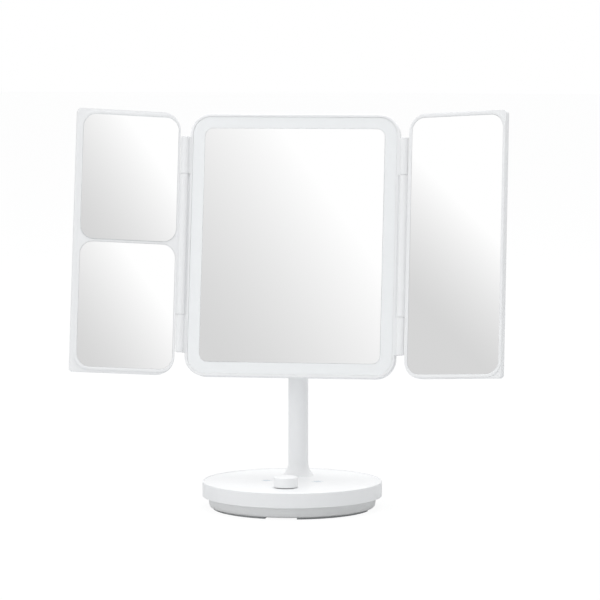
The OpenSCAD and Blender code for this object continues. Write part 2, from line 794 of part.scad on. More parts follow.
module mirror_carrier() {
    color(shade_white) at_head() difference() {
        union() {
            panel_plate(mirror_w - 2 * carrier_inset, mirror_h - 2 * carrier_inset, mirror_r,
                carrier_d, carrier_d + carrier_t);
            panel_posts(post_r, carrier_d + carrier_t / 2, shell_inner_d);
        }
        panel_posts(head_screw_r + screw_gap, shell_inner_d - post_pilot_l, shell_inner_d + over);
    }
}

module led_board() {
    color(white) at_head() panel_ring(opening_w - 2 * fit_gap, opening_h - 2 * fit_gap,
        opening_r - fit_gap, led_board_band, led_board_d, shell_inner_d);
}

module led_row(length) {
    count = floor((length - 2 * led_corner) / led_pitch);
    for (i = [0 : count])
        translate([(i - count / 2) * led_pitch - led_size / 2, 0, -led_size / 2])
            cube([led_size, led_t, led_size]);
}

module led_chips() {
    color(led_yellow) at_head() translate([0, led_board_d - led_t, 0]) for (side = [-1, 1]) {
        translate([0, 0, side * led_row_h / 2]) led_row(led_row_w);
        translate([side * led_row_w / 2, 0, 0]) rotate([0, 90, 0]) led_row(led_row_h);
    }
}

module led_lead() {
    lead_top = opening_h / 2 - fit_gap - led_board_band;
    color(wire_grey) at_head() translate([-lead_w / 2, shell_inner_d - lead_t, bracket_h / 2])
        cube([lead_w, lead_t, lead_top - bracket_h / 2]);
}

module rear_shell() {
    color(white) at_head() difference() {
        union() {
            hull() {
                panel_plate(panel_w, panel_h, panel_r, frame_depth, panel_t - back_edge, $fn = 48);
                panel_plate(panel_w - 2 * back_mid, panel_h - 2 * back_mid, panel_r - back_mid,
                    frame_depth + over, panel_t - back_mid, $fn = 48);
                panel_plate(panel_w - 2 * back_edge, panel_h - 2 * back_edge, panel_r - back_edge,
                    frame_depth + over, panel_t, $fn = 48);
            }
            panel_plate(opening_w - 2 * fit_gap, opening_h - 2 * fit_gap, opening_r - fit_gap,
                frame_depth - lip_depth, frame_depth + over);
        }
        panel_plate(opening_w - 2 * fit_gap - 2 * lip_t, opening_h - 2 * fit_gap - 2 * lip_t,
            opening_r - fit_gap - lip_t, frame_depth - lip_depth - over, led_board_d - fit_gap);
        panel_plate(opening_w - fit_gap, opening_h - fit_gap, opening_r - fit_gap / 2,
            led_board_d - board_seat, shell_inner_d);
        panel_posts(head_screw_r + screw_gap, shell_inner_d - over, panel_t + over);
        panel_posts(head_screw_head_r + screw_gap, panel_t - head_screw_sink, panel_t + over);
        bracket_holes(bracket_screw_r + screw_gap, shell_inner_d - over, panel_t + over);
    }
}

module head_screws() {
    color(steel) at_head() {
        panel_posts(head_screw_head_r, panel_t - head_screw_sink, panel_t);
        panel_posts(head_screw_r, shell_inner_d - post_pilot_l + over, panel_t - head_screw_sink / 2);
    }
}

module hinge_pin() {
    translate([0, 0, pin_inset - hinge_l / 2]) cylinder(r = pin_r, h = hinge_l - 2 * pin_inset);
}

module left_hinge_pin() {
    color(steel) at_left_wing() hinge_pin();
}

module right_hinge_pin() {
    color(steel) at_right_wing() hinge_pin();
}

// ---- Wings ----

// Front frame without its pockets, with the long knuckle
module wing_blank() {
    upright(wing_inner, wing_reach, panel_h, wing_inner_r, wing_outer_r, 0, wing_frame_t);
    translate([0, 0, knuckle_gap - knuckle_l / 2]) {
        cylinder(r = barrel_r, h = knuckle_l - 2 * knuckle_gap);
        translate([0, arm_d0, 0])
            cube([wing_inner + 1, barrel_r - arm_d0, knuckle_l - 2 * knuckle_gap]);
    }
}

module wing_bore() {
    translate([0, 0, -hinge_l]) cylinder(r = pin_r + running_gap, h = 2 * hinge_l);
}

module wing_back() {
    difference() {
        hull() {
            upright(wing_inner, wing_reach, panel_h, wing_inner_r, wing_outer_r,
                wing_frame_t, wing_t - wing_edge, $fn = 48);
            upright(wing_inner + wing_mid, wing_reach - wing_mid, panel_h - 2 * wing_mid,
                wing_inner_r - wing_mid, wing_outer_r - wing_mid,
                wing_frame_t, wing_t - wing_mid, $fn = 48);
            upright(wing_inner + wing_edge, wing_reach - wing_edge, panel_h - 2 * wing_edge,
                wing_inner_r - wing_edge, wing_outer_r - wing_edge, wing_frame_t, wing_t, $fn = 48);
        }
        upright(wing_inner + 2 * wing_edge, wing_reach - 2 * wing_edge, panel_h - 4 * wing_edge,
            wing_inner_r - 2 * wing_edge, wing_hollow_r, wing_frame_t - over, wing_t - wing_back_wall);
    }
}

// Mirror or pocket of the left wing, level 1 above and level -1 below
module left_plate(level, gap, d0, d1) {
    translate([0, 0, level * left_mirror_z])
        upright(left_s0 - gap, left_s1 + gap, left_mirror_h + 2 * gap, wing_mirror_r + gap,
            wing_mirror_r + gap, d0, d1);
}

module right_plate(gap, d0, d1) {
    upright(right_s0 - gap, right_s1 + gap, right_mirror_h + 2 * gap, wing_mirror_r + gap,
        wing_mirror_r + gap, d0, d1);
}

module left_wing_frame() {
    color(white) at_left_wing() difference() {
        wing_blank();
        for (level = [-1, 1]) left_plate(level, fit_gap, -over, pocket_floor);
        wing_bore();
    }
}

module left_wing_back() {
    color(white) at_left_wing() wing_back();
}

module left_upper_mirror() {
    color(silvered) at_left_wing() left_plate(1, 0, -magnifier_proud, pocket_floor - foam_t);
}

module left_upper_foam() {
    color(foam_grey) at_left_wing() left_plate(1, -foam_inset, pocket_floor - foam_t, pocket_floor);
}

module left_lower_mirror() {
    color(silvered) at_left_wing() left_plate(-1, 0, glass_sink, pocket_floor - foam_t);
}

module left_lower_foam() {
    color(foam_grey) at_left_wing() left_plate(-1, -foam_inset, pocket_floor - foam_t, pocket_floor);
}

module right_wing_frame() {
    color(white) at_right_wing() difference() {
        wing_blank();
        right_plate(fit_gap, -over, pocket_floor);
        wing_bore();
    }
}

module right_wing_back() {
    color(white) at_right_wing() wing_back();
}

module right_mirror() {
    color(silvered) at_right_wing() right_plate(0, glass_sink, pocket_floor - foam_t);
}

module right_foam() {
    color(foam_grey) at_right_wing() right_plate(-foam_inset, pocket_floor - foam_t, pocket_floor);
}

base_tray();
base_bottom();
ballast_plate();
rubber_feet();
base_screws();
control_board();
board_screws();
battery();
charge_board();
charge_socket();
dimmer_body();
switch_dome();
switch_plunger();
dimmer_shaft();
dimmer_knob();
base_wires();
stem_tube();
stem_nut();
stem_cable();
tilt_yoke();
tilt_bolt();
tilt_nut();
friction_washers();
yoke_caps();
tilt_bracket();
bracket_screws();
backing_plate();
centre_frame();
light_diffuser();
centre_mirror();
centre_mirror_foam();
mirror_carrier();
led_board();
led_chips();
led_lead();
rear_shell();
head_screws();
left_hinge_pin();
right_hinge_pin();
left_wing_frame();
left_wing_back();
left_upper_mirror();
left_upper_foam();
left_lower_mirror();
left_lower_foam();
right_wing_frame();
right_wing_back();
right_mirror();
right_foam();
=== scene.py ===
"""Looks of a trifold vanity mirror that stands on a round lamp base.

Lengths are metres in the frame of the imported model: X to the right, Y to the back, Z up. Places and
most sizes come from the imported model, and the rest are the properties that the panel lists.
"""

import json
import math
from contextlib import contextmanager

import bmesh
import bpy
from bpy.props import FloatProperty, FloatVectorProperty, IntProperty, PointerProperty
from mathutils import Matrix, Vector


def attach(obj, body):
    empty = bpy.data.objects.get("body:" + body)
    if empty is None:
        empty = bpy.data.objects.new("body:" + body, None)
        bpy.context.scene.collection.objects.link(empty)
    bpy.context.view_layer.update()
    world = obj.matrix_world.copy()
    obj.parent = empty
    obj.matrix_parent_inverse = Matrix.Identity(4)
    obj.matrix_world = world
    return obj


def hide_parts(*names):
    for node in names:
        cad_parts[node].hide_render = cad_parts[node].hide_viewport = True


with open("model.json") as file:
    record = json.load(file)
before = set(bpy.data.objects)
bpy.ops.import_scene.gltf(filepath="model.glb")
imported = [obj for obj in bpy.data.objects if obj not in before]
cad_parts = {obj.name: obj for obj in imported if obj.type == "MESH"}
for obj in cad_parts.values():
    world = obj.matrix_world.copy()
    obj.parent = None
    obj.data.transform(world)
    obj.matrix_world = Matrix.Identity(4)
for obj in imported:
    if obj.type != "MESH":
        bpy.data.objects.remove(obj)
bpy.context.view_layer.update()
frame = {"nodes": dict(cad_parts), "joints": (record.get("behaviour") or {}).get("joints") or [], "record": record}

bl_info = {
    "name": "Trifold vanity mirror",
    "version": (1, 0, 0),
    "blender": (4, 5, 0),
    "location": "View3D > Sidebar > Mirror",
    "description": "Models and finishes the pieces of a trifold vanity mirror",
    "category": "Mesh",
}

MM = 0.001
TINY = 0.01 * MM
OVER = 2 * MM  # how far a cutter reaches past what it cuts or a test looks past an edge
LAP = 1 * MM  # how far a part is let into the one that it joins
CLEAR = 0.2 * MM  # clearance round a seated part, and radius of hidden edges
FINE_R = 0.15 * MM  # radius of a fine edge, and clearance round a sunk screw
SLIGHT_R = 0.3 * MM  # radius of an edge that is only taken off
PIN_SINK = 1 * MM  # how far the knuckles reach past the ends of their pin
STEP_FLOOR = 2 * MM  # thickness of the step's floor
STEM_WALL = 2 * MM
SLOT_R = 1.2 * MM  # radius of the corners of the socket's opening
SINK_H = 1.2 * MM  # depth of the screws' sunk seats
STEP_LEDGE = 2.1 * MM  # how far the step's flange stands out of its side
FLANGE_W, FLANGE_T = 6 * MM, 2 * MM  # width and thickness of the step's flange
GROOVE = 0.4 * MM  # depth of the groove in a foot
KNOB_FOOT_R = 0.4 * MM  # radius of the knob's lower edge
INK_H = 0.05 * MM  # how far the printed marks stand out
CONE_H = 7 * MM  # height of the cone between stem and yoke
FRAME_FRONT = 1.5 * MM  # distance of the centre frame's front behind the hinge pins
FRAME_DEPTH = 9 * MM
SHELL_DEPTH = 5 * MM
BRACKET_T, BRACKET_R = 3 * MM, 5 * MM  # thickness of the bracket's plate, radius of its corners
BRACKET_EDGE = 0.8 * MM  # radius of the bracket's back edge, and the lug's play in the yoke
YOKE_R = 0.5 * MM  # radius of the yoke's edges
TONGUE_W, TONGUE_H = 6.6 * MM, 0.7 * MM
TONGUE_FRONT, TONGUE_BACK = 0.9 * MM, 0.6 * MM  # how far the tongue lies inside the socket's ends
BEZEL_R = 0.6 * MM  # radius of the bezel's outer edge
SEAT_PLAY = 0.5 * MM  # room behind a wing's mirror
LUG_R = 0.4 * MM  # radius of the lug's edges
ARM_GROW = 0.3 * MM  # how far an end knuckle's arm is thicker than its barrel, each way
WING_ROOT = 3.6 * MM  # distance of the wing's edge from its hinge
SCREW_HEADS = {"head_screws": 1.2 * MM, "bracket_screws": 1.8 * MM, "base_screws": 1.8 * MM}
PANEL_STEPS, WING_STEPS = 20, 18  # steps of the arcs at the panel's and the wings' corners

# ---- Axes of the head and the wings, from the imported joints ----

JOINTS = {joint["name"]: joint for joint in frame["joints"]}
PIVOT = Vector(JOINTS["head_tilt"]["pos_m"])
UP = Vector(JOINTS["left_wing_hinge"]["axis"])
HEAD_TURN = Matrix.Rotation(-math.atan2(UP.y, UP.z), 4, "X")
HEAD = Matrix.Translation(PIVOT) @ HEAD_TURN
WORLD = Matrix.Identity(4)


def wing_axes(side, name):
    """Axes of a wing at its hinge: X along the wing to the right, Y to its back, Z along the hinge."""
    joint = JOINTS[name]
    opened = Matrix.Rotation(side * math.radians(joint["range_deg"][0]), 4, "Z")
    return Matrix.Translation(Vector(joint["pos_m"])) @ HEAD_TURN @ opened


LEFT, RIGHT = -1, 1
WINGS = {LEFT: wing_axes(LEFT, "left_wing_hinge"), RIGHT: wing_axes(RIGHT, "right_wing_hinge")}


def solids(node, axes=WORLD):
    """Lowest and highest corner, in the given axes, of each separate solid of a CAD node."""
    copy = bmesh.new()
    copy.from_mesh(frame["nodes"][node].data)
    bmesh.ops.transform(copy, matrix=axes.inverted(), verts=copy.verts)
    bmesh.ops.remove_doubles(copy, verts=copy.verts, dist=TINY / 10)
    left = set(copy.verts)
    boxes = []
    while left:
        group, edge = [], [left.pop()]
        while edge:
            vert = edge.pop()
            group.append(vert.co)
            joined = {other.other_vert(vert) for other in vert.link_edges} & left
            left -= joined
            edge += joined
        low = Vector([min(point[i] for point in group) for i in range(3)])
        high = Vector([max(point[i] for point in group) for i in range(3)])
        boxes.append((low, high))
    copy.free()
    return sorted(boxes, key=lambda box: [round(value, 5) for value in box[0]])


def corners(node, axes=WORLD):
    """Lowest and highest corner of a whole CAD node in the given axes."""
    boxes = solids(node, axes)
    low = Vector([min(box[0][i] for box in boxes) for i in range(3)])
    high = Vector([max(box[1][i] for box in boxes) for i in range(3)])
    return low, high


def middle(box):
    """Centre of a box."""
    return (box[0] + box[1]) / 2


def half_width(box):
    """Half the width of a box, or the radius of what it holds."""
    return (box[1].x - box[0].x) / 2


def deep(box, front, back):
    """The box with another front and back."""
    low, high = box
    return Vector((low.x, front, low.z)), Vector((high.x, back, high.z))


# ---- Properties ----


def number(name, about, default, **settings):
    """A plain number."""
    return FloatProperty(name=name, description=about, default=default, **settings)


def length(name, about, millimetres):
    """A size in metres."""
    return number(name, about, millimetres * MM, min=0.0, unit="LENGTH")


def linear(code):
    """Linear colour of an sRGB hex value."""
    parts = [int(code[i : i + 2], 16) / 255 for i in (1, 3, 5)]
    return [c / 12.92 if c <= 0.04045 else ((c + 0.055) / 1.055) ** 2.4 for c in parts]


def colour(name, about, code):
    """A colour given as an sRGB hex value."""
    return FloatVectorProperty(
        name=name, description=about, default=linear(code), subtype="COLOR", size=3, min=0.0, max=1.0
    )


class BaseSizes(bpy.types.PropertyGroup):
    """Sizes of the pieces of the base and the stem"""

    rim_w: length("Rim width", "Width of the raised rim round the tray", 1.6)
    rim_h: length("Rim height", "Height of the rim above the tray", 0.6)
    rim_r: length("Rim edge", "Radius of the rim's outer edge", 0.8)
    wall: length("Wall", "Wall of the tray's side", 2.2)
    top_t: length("Top", "Thickness of the tray's top", 2.4)
    step_taper: length("Step taper", "How much the step narrows towards its bottom", 1.5)
    step_r: length("Step edge", "Radius of the step's bottom edge", 1.5)
    foot_r: length("Foot edge", "Radius of a rubber foot's lower edge", 0.4)
    knob_edge: length("Knob edge", "Radius of the knob's top edge", 0.9)
    knob_dish: length("Knob dish", "How far the knob's top dips in its middle", 0.25)
    knob_wall: length("Knob wall", "Wall of the knob", 1.6)
    stem_d: length("Stem", "Diameter of the stem", 16.8)
    flare_h: length("Flare", "Height of the stem's flared foot", 11)
    mark_r: length("Mark", "Outer radius of a brightness mark", 5.2)
    mark_x: length("Mark place", "Distance of a brightness mark from the middle", 21.4)
    mark_y: length("Mark depth", "Distance of the brightness marks in front of the centre", 1.2)


class HeadSizes(bpy.types.PropertyGroup):
    """Sizes of the pieces of the head and the wings"""

    panel_r: length("Panel corner", "Radius of the centre panel's corners", 17)
    rim: length("Panel rim", "Width of the rim round the light ring", 2.2)
    ledge: length("Ledge", "Width and thickness of the ledge under the light ring", 1.6)
    glass_r: length("Glass corner", "Radius of the centre mirror's corners", 6.7)
    wing_glass_r: length("Wing glass corner", "Radius of the wing mirrors' corners", 11)
    wing_inner_r: length("Wing corner", "Radius of the wing's corners beside the hinge", 15)
    wing_outer_r: length("Wing outer corner", "Radius of the wing's outer corners", 3)
    gap: length("Gap", "Gap that shows round a mirror or the light ring", 0.06)
    bezel_w: length("Bezel", "Width of the raised bezel round the wings' mirrors", 2.4)
    bezel_h: length("Bezel height", "How far the bezel stands above the frame's outer corners", 0.7)
    front_r: length("Front edge", "Radius of the frames' front edges", 0.8)
    seat_r: length("Seat edge", "Radius of the frames' edges round the glass", 0.28)
    part_r: length("Parting edge", "Radius of the edges along a parting line", 0.25)
    back_r: length("Back edge", "Radius of the rear shell's back edge", 2)
    wing_back_r: length("Wing back edge", "Radius of the wings' back edges", 1.5)
    arris: length("Arris", "Width of the ground edge round a mirror's front", 0.15)
    barrel_r: length("Barrel end", "Radius of the hinge barrels' end edges", 0.5)
    hollow: length("Hollow", "Depth of the magnifying mirror's hollow", 0.45)
    slope_w: length("Slope width", "Width of the sloped edge round the wings' mirrors", 0.9)
    slope_h: length("Slope height", "Depth of the sloped edge round the wings' mirrors", 0.4)
    knuckle: length("Knuckle", "Length of an end knuckle of the hinges", 31.4)
    arm_in: length("Arm depth", "How far the middle knuckle's arm lies behind the wing's front", 0.1)
    knuckle_gap: length("Knuckle gap", "Gap that shows between two knuckles", 0.15)
    infill_w: length("Infill", "How far the infill behind the middle knuckle stands out of the frame", 2.2)
    infill_t: length("Infill thickness", "Thickness of the infill behind the middle knuckle", 4)
    infill_in: length("Infill depth", "How far the infill lies behind the frame's front", 0.4)


class Finishes(bpy.types.PropertyGroup):
    """Colours of the materials"""

    white_abs: colour("White ABS", "Moulded ABS of the frames, the tray and the stem", "#EEEFF0")
    grey_abs: colour("Grey ABS", "Moulded ABS of the base's lower step", "#E8E9E9")
    opal: colour("Opal", "Frosted acrylic of the light ring", "#F0F2F3")
    silver: colour("Silvering", "Silvered glass of the mirrors", "#FCFCFC")
    glass_edge: colour("Glass edge", "Ground edge of the mirror glass", "#DCE3E1")
    zinc: colour("Zinc", "Zinc plated steel of the screws and pins", "#B4B6B9")
    brass: colour("Brass", "Brass of the washers and the stem's nut", "#C9A557")
    rubber: colour("Rubber", "Rubber of the feet", "#B2B4B6")
    solder_mask: colour("Solder mask", "Solder mask of the circuit boards", "#1D5B38")
    shrink_film: colour("Shrink film", "Shrink film round the battery", "#3A62A0")
    sheath: colour("Sheath", "Soft PVC of the wires", "#4D4D52")
    foam: colour("Foam", "Adhesive foam behind the mirrors", "#72757A")
    phosphor: colour("Phosphor", "Phosphor coat of the diodes", "#FAE68C")
    ink: colour("Ink", "Printed brightness marks", "#D3DAE1")
    nylon: colour("Nylon", "Tongue of the charging socket", "#1B1C1E")


class Studio(bpy.types.PropertyGroup):
    """Camera, lights and floor"""

    azimuth: number("Azimuth", "Camera's turn to the right", math.radians(8.0), subtype="ANGLE")
    pitch: number("Pitch", "Camera's height above the level line", math.radians(5.16), subtype="ANGLE")
    distance: length("Distance", "Camera's distance from its target", 2800)
    target_z: length("Target height", "Height of the point that the camera looks at", 174.13)
    target_x: length("Target side", "Sideways place of the point that the camera looks at", 6.46)
    lens: number("Lens", "Focal length", 201.96, subtype="DISTANCE_CAMERA")
    ambient: number("Ambient", "Strength of the light all round", 0.75)
    key: number("Key", "Power of the soft light at the front left", 3.6)
    top: number("Top", "Power of the soft light overhead", 16.4)
    rear: number("Rear", "Power of the light over the head's back", 12.3)
    floor_share: number("Floor share", "How much of the floor the camera sees as lit paper", 0.12)
    floor: colour("Floor", "Colour of the floor", "#D9DADB")
    card_low: number("Card low", "Brightness of the reflection cards at their lower left", 0.69)
    card_high: number("Card high", "Brightness of the reflection cards at their upper right", 1.03)
    card_reach: length("Card reach", "Distance of the reflection cards from their mirrors", 2400)


class MirrorModel(bpy.types.PropertyGroup):
    """Everything that a user would change"""

    base: PointerProperty(type=BaseSizes)
    head: PointerProperty(type=HeadSizes)
    finishes: PointerProperty(type=Finishes)
    studio: PointerProperty(type=Studio)
    steps: IntProperty(name="Steps", description="Steps of a corner's arc", default=14, min=3, max=32)


# ---- Modelling by hand: primitives, selections and modifiers ----


def add(kind, name, **settings):
    """Adds a primitive with nothing else selected, names it and puts its place into its mesh."""
    bpy.ops.object.select_all(action="DESELECT")
    getattr(bpy.ops.mesh, f"primitive_{kind}_add")(**settings)
    piece = bpy.context.object
    piece.name = name
    bpy.ops.object.transform_apply(location=True, rotation=True, scale=True)
    return piece


def block(name, location, scale, **settings):
    """A box of that size, to be shaped, cut or joined further."""
    return add("cube", name, size=1, location=location, scale=scale, **settings)


def choose(*pieces):
    """Selects these pieces alone, the first of them active."""
    bpy.ops.object.select_all(action="DESELECT")
    for piece in pieces:
        piece.select_set(True)
    bpy.context.view_layer.objects.active = pieces[0]


@contextmanager
def editing(piece, kind="FACE"):
    """Edit mode on one piece, with nothing in it selected."""
    choose(piece)
    bpy.ops.object.mode_set(mode="EDIT")
    bpy.ops.mesh.select_mode(type=kind)
    bpy.ops.mesh.select_all(action="DESELECT")
    yield
    bpy.ops.object.mode_set(mode="OBJECT")


def pick(kind, test):
    """Selects the faces, edges or verts of the mesh being edited that pass the test."""
    data = bpy.context.object.data
    mesh = bmesh.from_edit_mesh(data)
    for item in getattr(mesh, kind):
        item.select_set(bool(test(item)))
    bmesh.update_edit_mesh(data)


def level(item, axis, value):
    """Whether all points of an edge or a face lie at a value of an axis."""
    return all(abs(vert.co[axis] - value) < TINY for vert in item.verts)


def sharp(edge, least=50):
    """Whether the two faces at an edge meet at more than that many degrees."""
    return len(edge.link_faces) == 2 and edge.calc_face_angle() > math.radians(least)


def soften(piece, radius, test, steps=3):
    """Rounds the sharp edges that pass the test."""
    with editing(piece, "EDGE"):
        pick("edges", lambda edge: sharp(edge) and test(edge))
        bpy.ops.mesh.bevel(offset=radius, segments=steps, affect="EDGES", clamp_overlap=True)


def soften_at(piece, radius, axis, value, steps=3):
    """Rounds the sharp edges that lie at a value of an axis."""
    soften(piece, radius, lambda edge: level(edge, axis, value), steps)


def modify(piece, kind, **settings):
    """Adds a modifier and applies it."""
    choose(piece)
    modifier = piece.modifiers.new(kind.title(), kind)
    for name, value in settings.items():
        setattr(modifier, name, value)
    bpy.ops.object.modifier_apply(modifier=modifier.name)


def combine(piece, operation, *others):
    """Cuts the other pieces out of a piece, or joins them to it."""
    for other in others:
        modify(piece, "BOOLEAN", operation=operation, object=other, solver="EXACT")
        bpy.data.objects.remove(other)


def plate(name, box, radii, steps=None):
    """A plate that stands upright, its corners rounded alike, or left and right by a pair of radii."""
    steps = steps or bpy.context.scene.mirror_model.steps
    low, high = box
    if isinstance(radii, float):
        radii = (radii, radii)
    piece = block(name, middle(box), high - low)
    for x, radius in zip((low.x, high.x), radii):
        with editing(piece, "EDGE"):
            pick(
                "edges",
                lambda edge: level(edge, 0, x) and abs(edge.verts[0].co.z - edge.verts[1].co.z) < TINY,
            )
            bpy.ops.mesh.bevel(offset=radius, segments=steps, affect="EDGES")
    return piece


def rod(name, axis, start, end, place, radius, vertices=48):
    """A cylinder along an axis from start to end, its other two coordinates in place."""
    where = [*place]
    where.insert(axis, (start + end) / 2)
    turn = [(0, math.pi / 2, 0), (math.pi / 2, 0, 0), (0, 0, 0)][axis]
    return add(
        "cylinder", name, vertices=vertices, radius=radius, depth=end - start, location=where, rotation=turn
    )


def turned(name, profile, place=(0.0, 0.0), steps=144):
    """A turned shape: its profile of (radius, height) points is drawn edge by edge and spun."""
    piece = add("plane", name, size=MM)
    axis = Vector((*place, 0))
    with editing(piece, "VERT"):
        bpy.ops.mesh.select_all(action="SELECT")
        bpy.ops.mesh.merge(type="CENTER")
        bpy.ops.transform.translate(value=axis + Vector((profile[0][0], 0, profile[0][1])))
        for (r0, z0), (r1, z1) in zip(profile, profile[1:]):
            bpy.ops.mesh.extrude_vertices_move(TRANSFORM_OT_translate={"value": (r1 - r0, 0, z1 - z0)})
        bpy.ops.mesh.select_all(action="SELECT")
        bpy.ops.mesh.spin(steps=steps, angle=2 * math.pi, center=axis, axis=(0, 0, 1))
        bpy.ops.mesh.select_all(action="SELECT")
        bpy.ops.mesh.remove_doubles(threshold=TINY)
        bpy.ops.mesh.normals_make_consistent(inside=False)
    return piece


def arc(r, z, radius, start, end, steps=10):
    """Points of an arc of a profile round (r, z), between two angles in degrees."""
    angles = [math.radians(start + (end - start) * i / steps) for i in range(steps + 1)]
    return [(r + radius * math.cos(a), z + radius * math.sin(a)) for a in angles]


def copies(piece, places):
    """Copies of a piece, each with its own mesh, moved to the places; the pattern itself goes."""
    made = []
    for place in places:
        choose(piece)
        bpy.ops.object.duplicate()
        twin = bpy.context.object
        twin.location = place
        bpy.ops.object.transform_apply(location=True, rotation=False, scale=False)
        made.append(twin)
    bpy.data.objects.remove(piece)
    return made


def joined(name, pieces):
    """One piece of several."""
    choose(*pieces)
    bpy.ops.object.join()
    piece = bpy.context.object
    piece.name = name
    return piece


def hand_over(piece, axes, body, slot, *nodes, finish=None, smooth=35):
    """Puts a piece in its place, smooths and finishes it, and lets it ride for the nodes it replaces."""
    choose(piece)
    piece.matrix_world = axes
    bpy.ops.object.transform_apply(location=True, rotation=True, scale=True)
    bpy.ops.object.shade_smooth_by_angle(angle=math.radians(smooth))
    modify(piece, "WEIGHTED_NORMAL", keep_sharp=True, weight=100)
    if not piece.data.materials:
        piece.data.materials.append(surface(finish or FINISH_OF_SLOT[slot]))
    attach(piece, body)
    if nodes:
        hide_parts(*nodes)
    return piece


# ---- Materials ----


def node(tree, kind, inputs=None, **settings):
    """Adds a shader node; an input takes a number, a colour or another node's output."""
    made = tree.nodes.new("ShaderNode" + kind)
    for name, value in settings.items():
        setattr(made, name, value)
    for name, value in (inputs or {}).items():
        if isinstance(value, bpy.types.NodeSocket):
            tree.links.new(value, made.inputs[name])
        else:
            made.inputs[name].default_value = value
    return made


def maths(tree, operation, *values):
    """The output of a math node."""
    return node(tree, "Math", dict(enumerate(values)), operation=operation).outputs[0]


def blank(name):
    """A new material without nodes."""
    material = bpy.data.materials.new(name)
    material.use_nodes = True
    material.node_tree.nodes.clear()
    return material


SURFACES = {
    # Injection moulded ABS from a finely eroded tool: satin, its grain of about 0.1 mm drawn three
    # times as coarse so that it shows
    "white_abs": ("white_abs", 0.015, 0.3, 0.004, (0.34, 0.42), {"IOR": 1.53}),
    # The same plastic with a coarser tool face, so that it is more matt
    "grey_abs": ("grey_abs", 0.02, 0.4, 0.008, (0.46, 0.56), {"IOR": 1.53}),
    # Acrylic with a frosted face: light goes a little way into it, so that its edges look soft
    "opal_acrylic": (
        "opal", 0.01, 0.25, 0.003, (0.42, 0.5),
        {
            "IOR": 1.49, "Subsurface Weight": 0.3, "Subsurface Scale": MM,
            "Subsurface Radius": (1.0, 1.0, 1.0),
        },
    ),
    # Float glass silvered on its back: a true mirror with a trace of haze from wiping
    "silvered_glass": ("silver", 0.004, 6, 0.0, (0.004, 0.012), {"Metallic": 1.0}),
    # Edge of the mirror glass, ground and half polished, slightly green
    "ground_glass": ("glass_edge", 0.05, 0.3, 0.004, (0.2, 0.35), {"IOR": 1.52}),
    # Bright zinc plate on steel, faintly cloudy
    "zinc_steel": ("zinc", 0.12, 0.3, 0.004, (0.24, 0.36), {"Metallic": 1.0}),
    # Brass, dulled a little by handling
    "turned_brass": ("brass", 0.1, 0.3, 0.004, (0.25, 0.38), {"Metallic": 1.0}),
    # Moulded silicone rubber with a matt skin
    "foot_rubber": ("rubber", 0.12, 0.4, 0.01, (0.62, 0.78), {"IOR": 1.5}),
    # Glass laminate under a glossy solder mask, whose colour varies over the copper
    "circuit_board": ("solder_mask", 0.35, 0.8, 0.01, (0.25, 0.35), {"IOR": 1.5}),
    # Shrink film round the cell, glossy with slight ripples
    "shrink_film": ("shrink_film", 0.08, 2, 0.02, (0.2, 0.3), {"IOR": 1.5}),
    # Soft PVC of the wires
    "pvc_sheath": ("sheath", 0.08, 0.4, 0.01, (0.45, 0.55), {"IOR": 1.5}),
    # Closed-cell foam tape, whose cells are about 0.3 mm wide
    "adhesive_foam": ("foam", 0.2, 0.3, 0.05, (0.85, 0.95), {"IOR": 1.45}),
    # Yellow phosphor in silicone over the diodes
    "phosphor_coat": ("phosphor", 0.1, 0.3, 0.01, (0.4, 0.55), {"IOR": 1.45}),
    # Pad-printing ink, flatter than the plastic under it
    "pad_ink": ("ink", 0.04, 0.2, 0.002, (0.5, 0.6), {"IOR": 1.5}),
    # Glass-filled nylon of the socket's tongue
    "socket_nylon": ("nylon", 0.15, 0.2, 0.004, (0.4, 0.5), {"IOR": 1.53}),
}

FINISH_OF_SLOT = {
    "white_plastic": "white_abs",
    "base_plastic": "grey_abs",
    "diffuser_plastic": "opal_acrylic",
    "mirror_glass": "silvered_glass",
    "steel": "zinc_steel",
    "brass": "turned_brass",
    "rubber": "foot_rubber",
    "circuit_board": "circuit_board",
    "battery_wrap": "shrink_film",
    "wire_sheath": "pvc_sheath",
    "foam": "adhesive_foam",
    "led_plastic": "phosphor_coat",
}


def surface(name):
    """The material of that row of the table: the property of its colour, how much the colour varies, the
    width and the lift of its grain in millimetres, its range of roughness and other sockets."""
    if name in bpy.data.materials:
        return bpy.data.materials[name]
    shade, spread, grain, depth, rough, constants = SURFACES[name]
    base = getattr(bpy.context.scene.mirror_model.finishes, shade)
    grain *= MM
    material = blank(name)
    tree = material.node_tree
    where = node(tree, "TexCoord").outputs["Object"]
    cloud = node(tree, "TexNoise", {"Vector": where, "Scale": 0.04 / grain, "Detail": 3.0})
    darker = [c * (1 - spread) for c in base]
    tint = node(
        tree, "Mix", {"Factor": cloud.outputs["Fac"], 6: (*darker, 1), 7: (*base, 1)}, data_type="RGBA"
    )
    fine = node(tree, "TexNoise", {"Vector": where, "Scale": 1 / grain, "Detail": 4.0})
    height = fine.outputs["Fac"]
    gloss = node(tree, "MapRange", {"Value": height, "To Min": rough[0], "To Max": rough[1]})
    bump = node(tree, "Bump", {"Height": height, "Distance": depth * MM, "Strength": 1.0})
    shader = node(
        tree, "BsdfPrincipled",
        {
            "Base Color": tint.outputs[2],
            "Roughness": gloss.outputs["Result"],
            "Normal": bump.outputs["Normal"],
            **constants,
        },
    )
    node(tree, "OutputMaterial", {"Surface": shader.outputs["BSDF"]})
    return material


# ---- Pieces of the base ----


class PieceOperator(bpy.types.Operator):
    """Runs what a piece's operator builds, and reads the sizes that pieces share"""

    bl_options = {"REGISTER", "UNDO"}

    def execute(self, context):
        self.build()
        return {"FINISHED"}

    @property
    def base(self):
        return bpy.context.scene.mirror_model.base

    @property
    def head(self):
        return bpy.context.scene.mirror_model.head


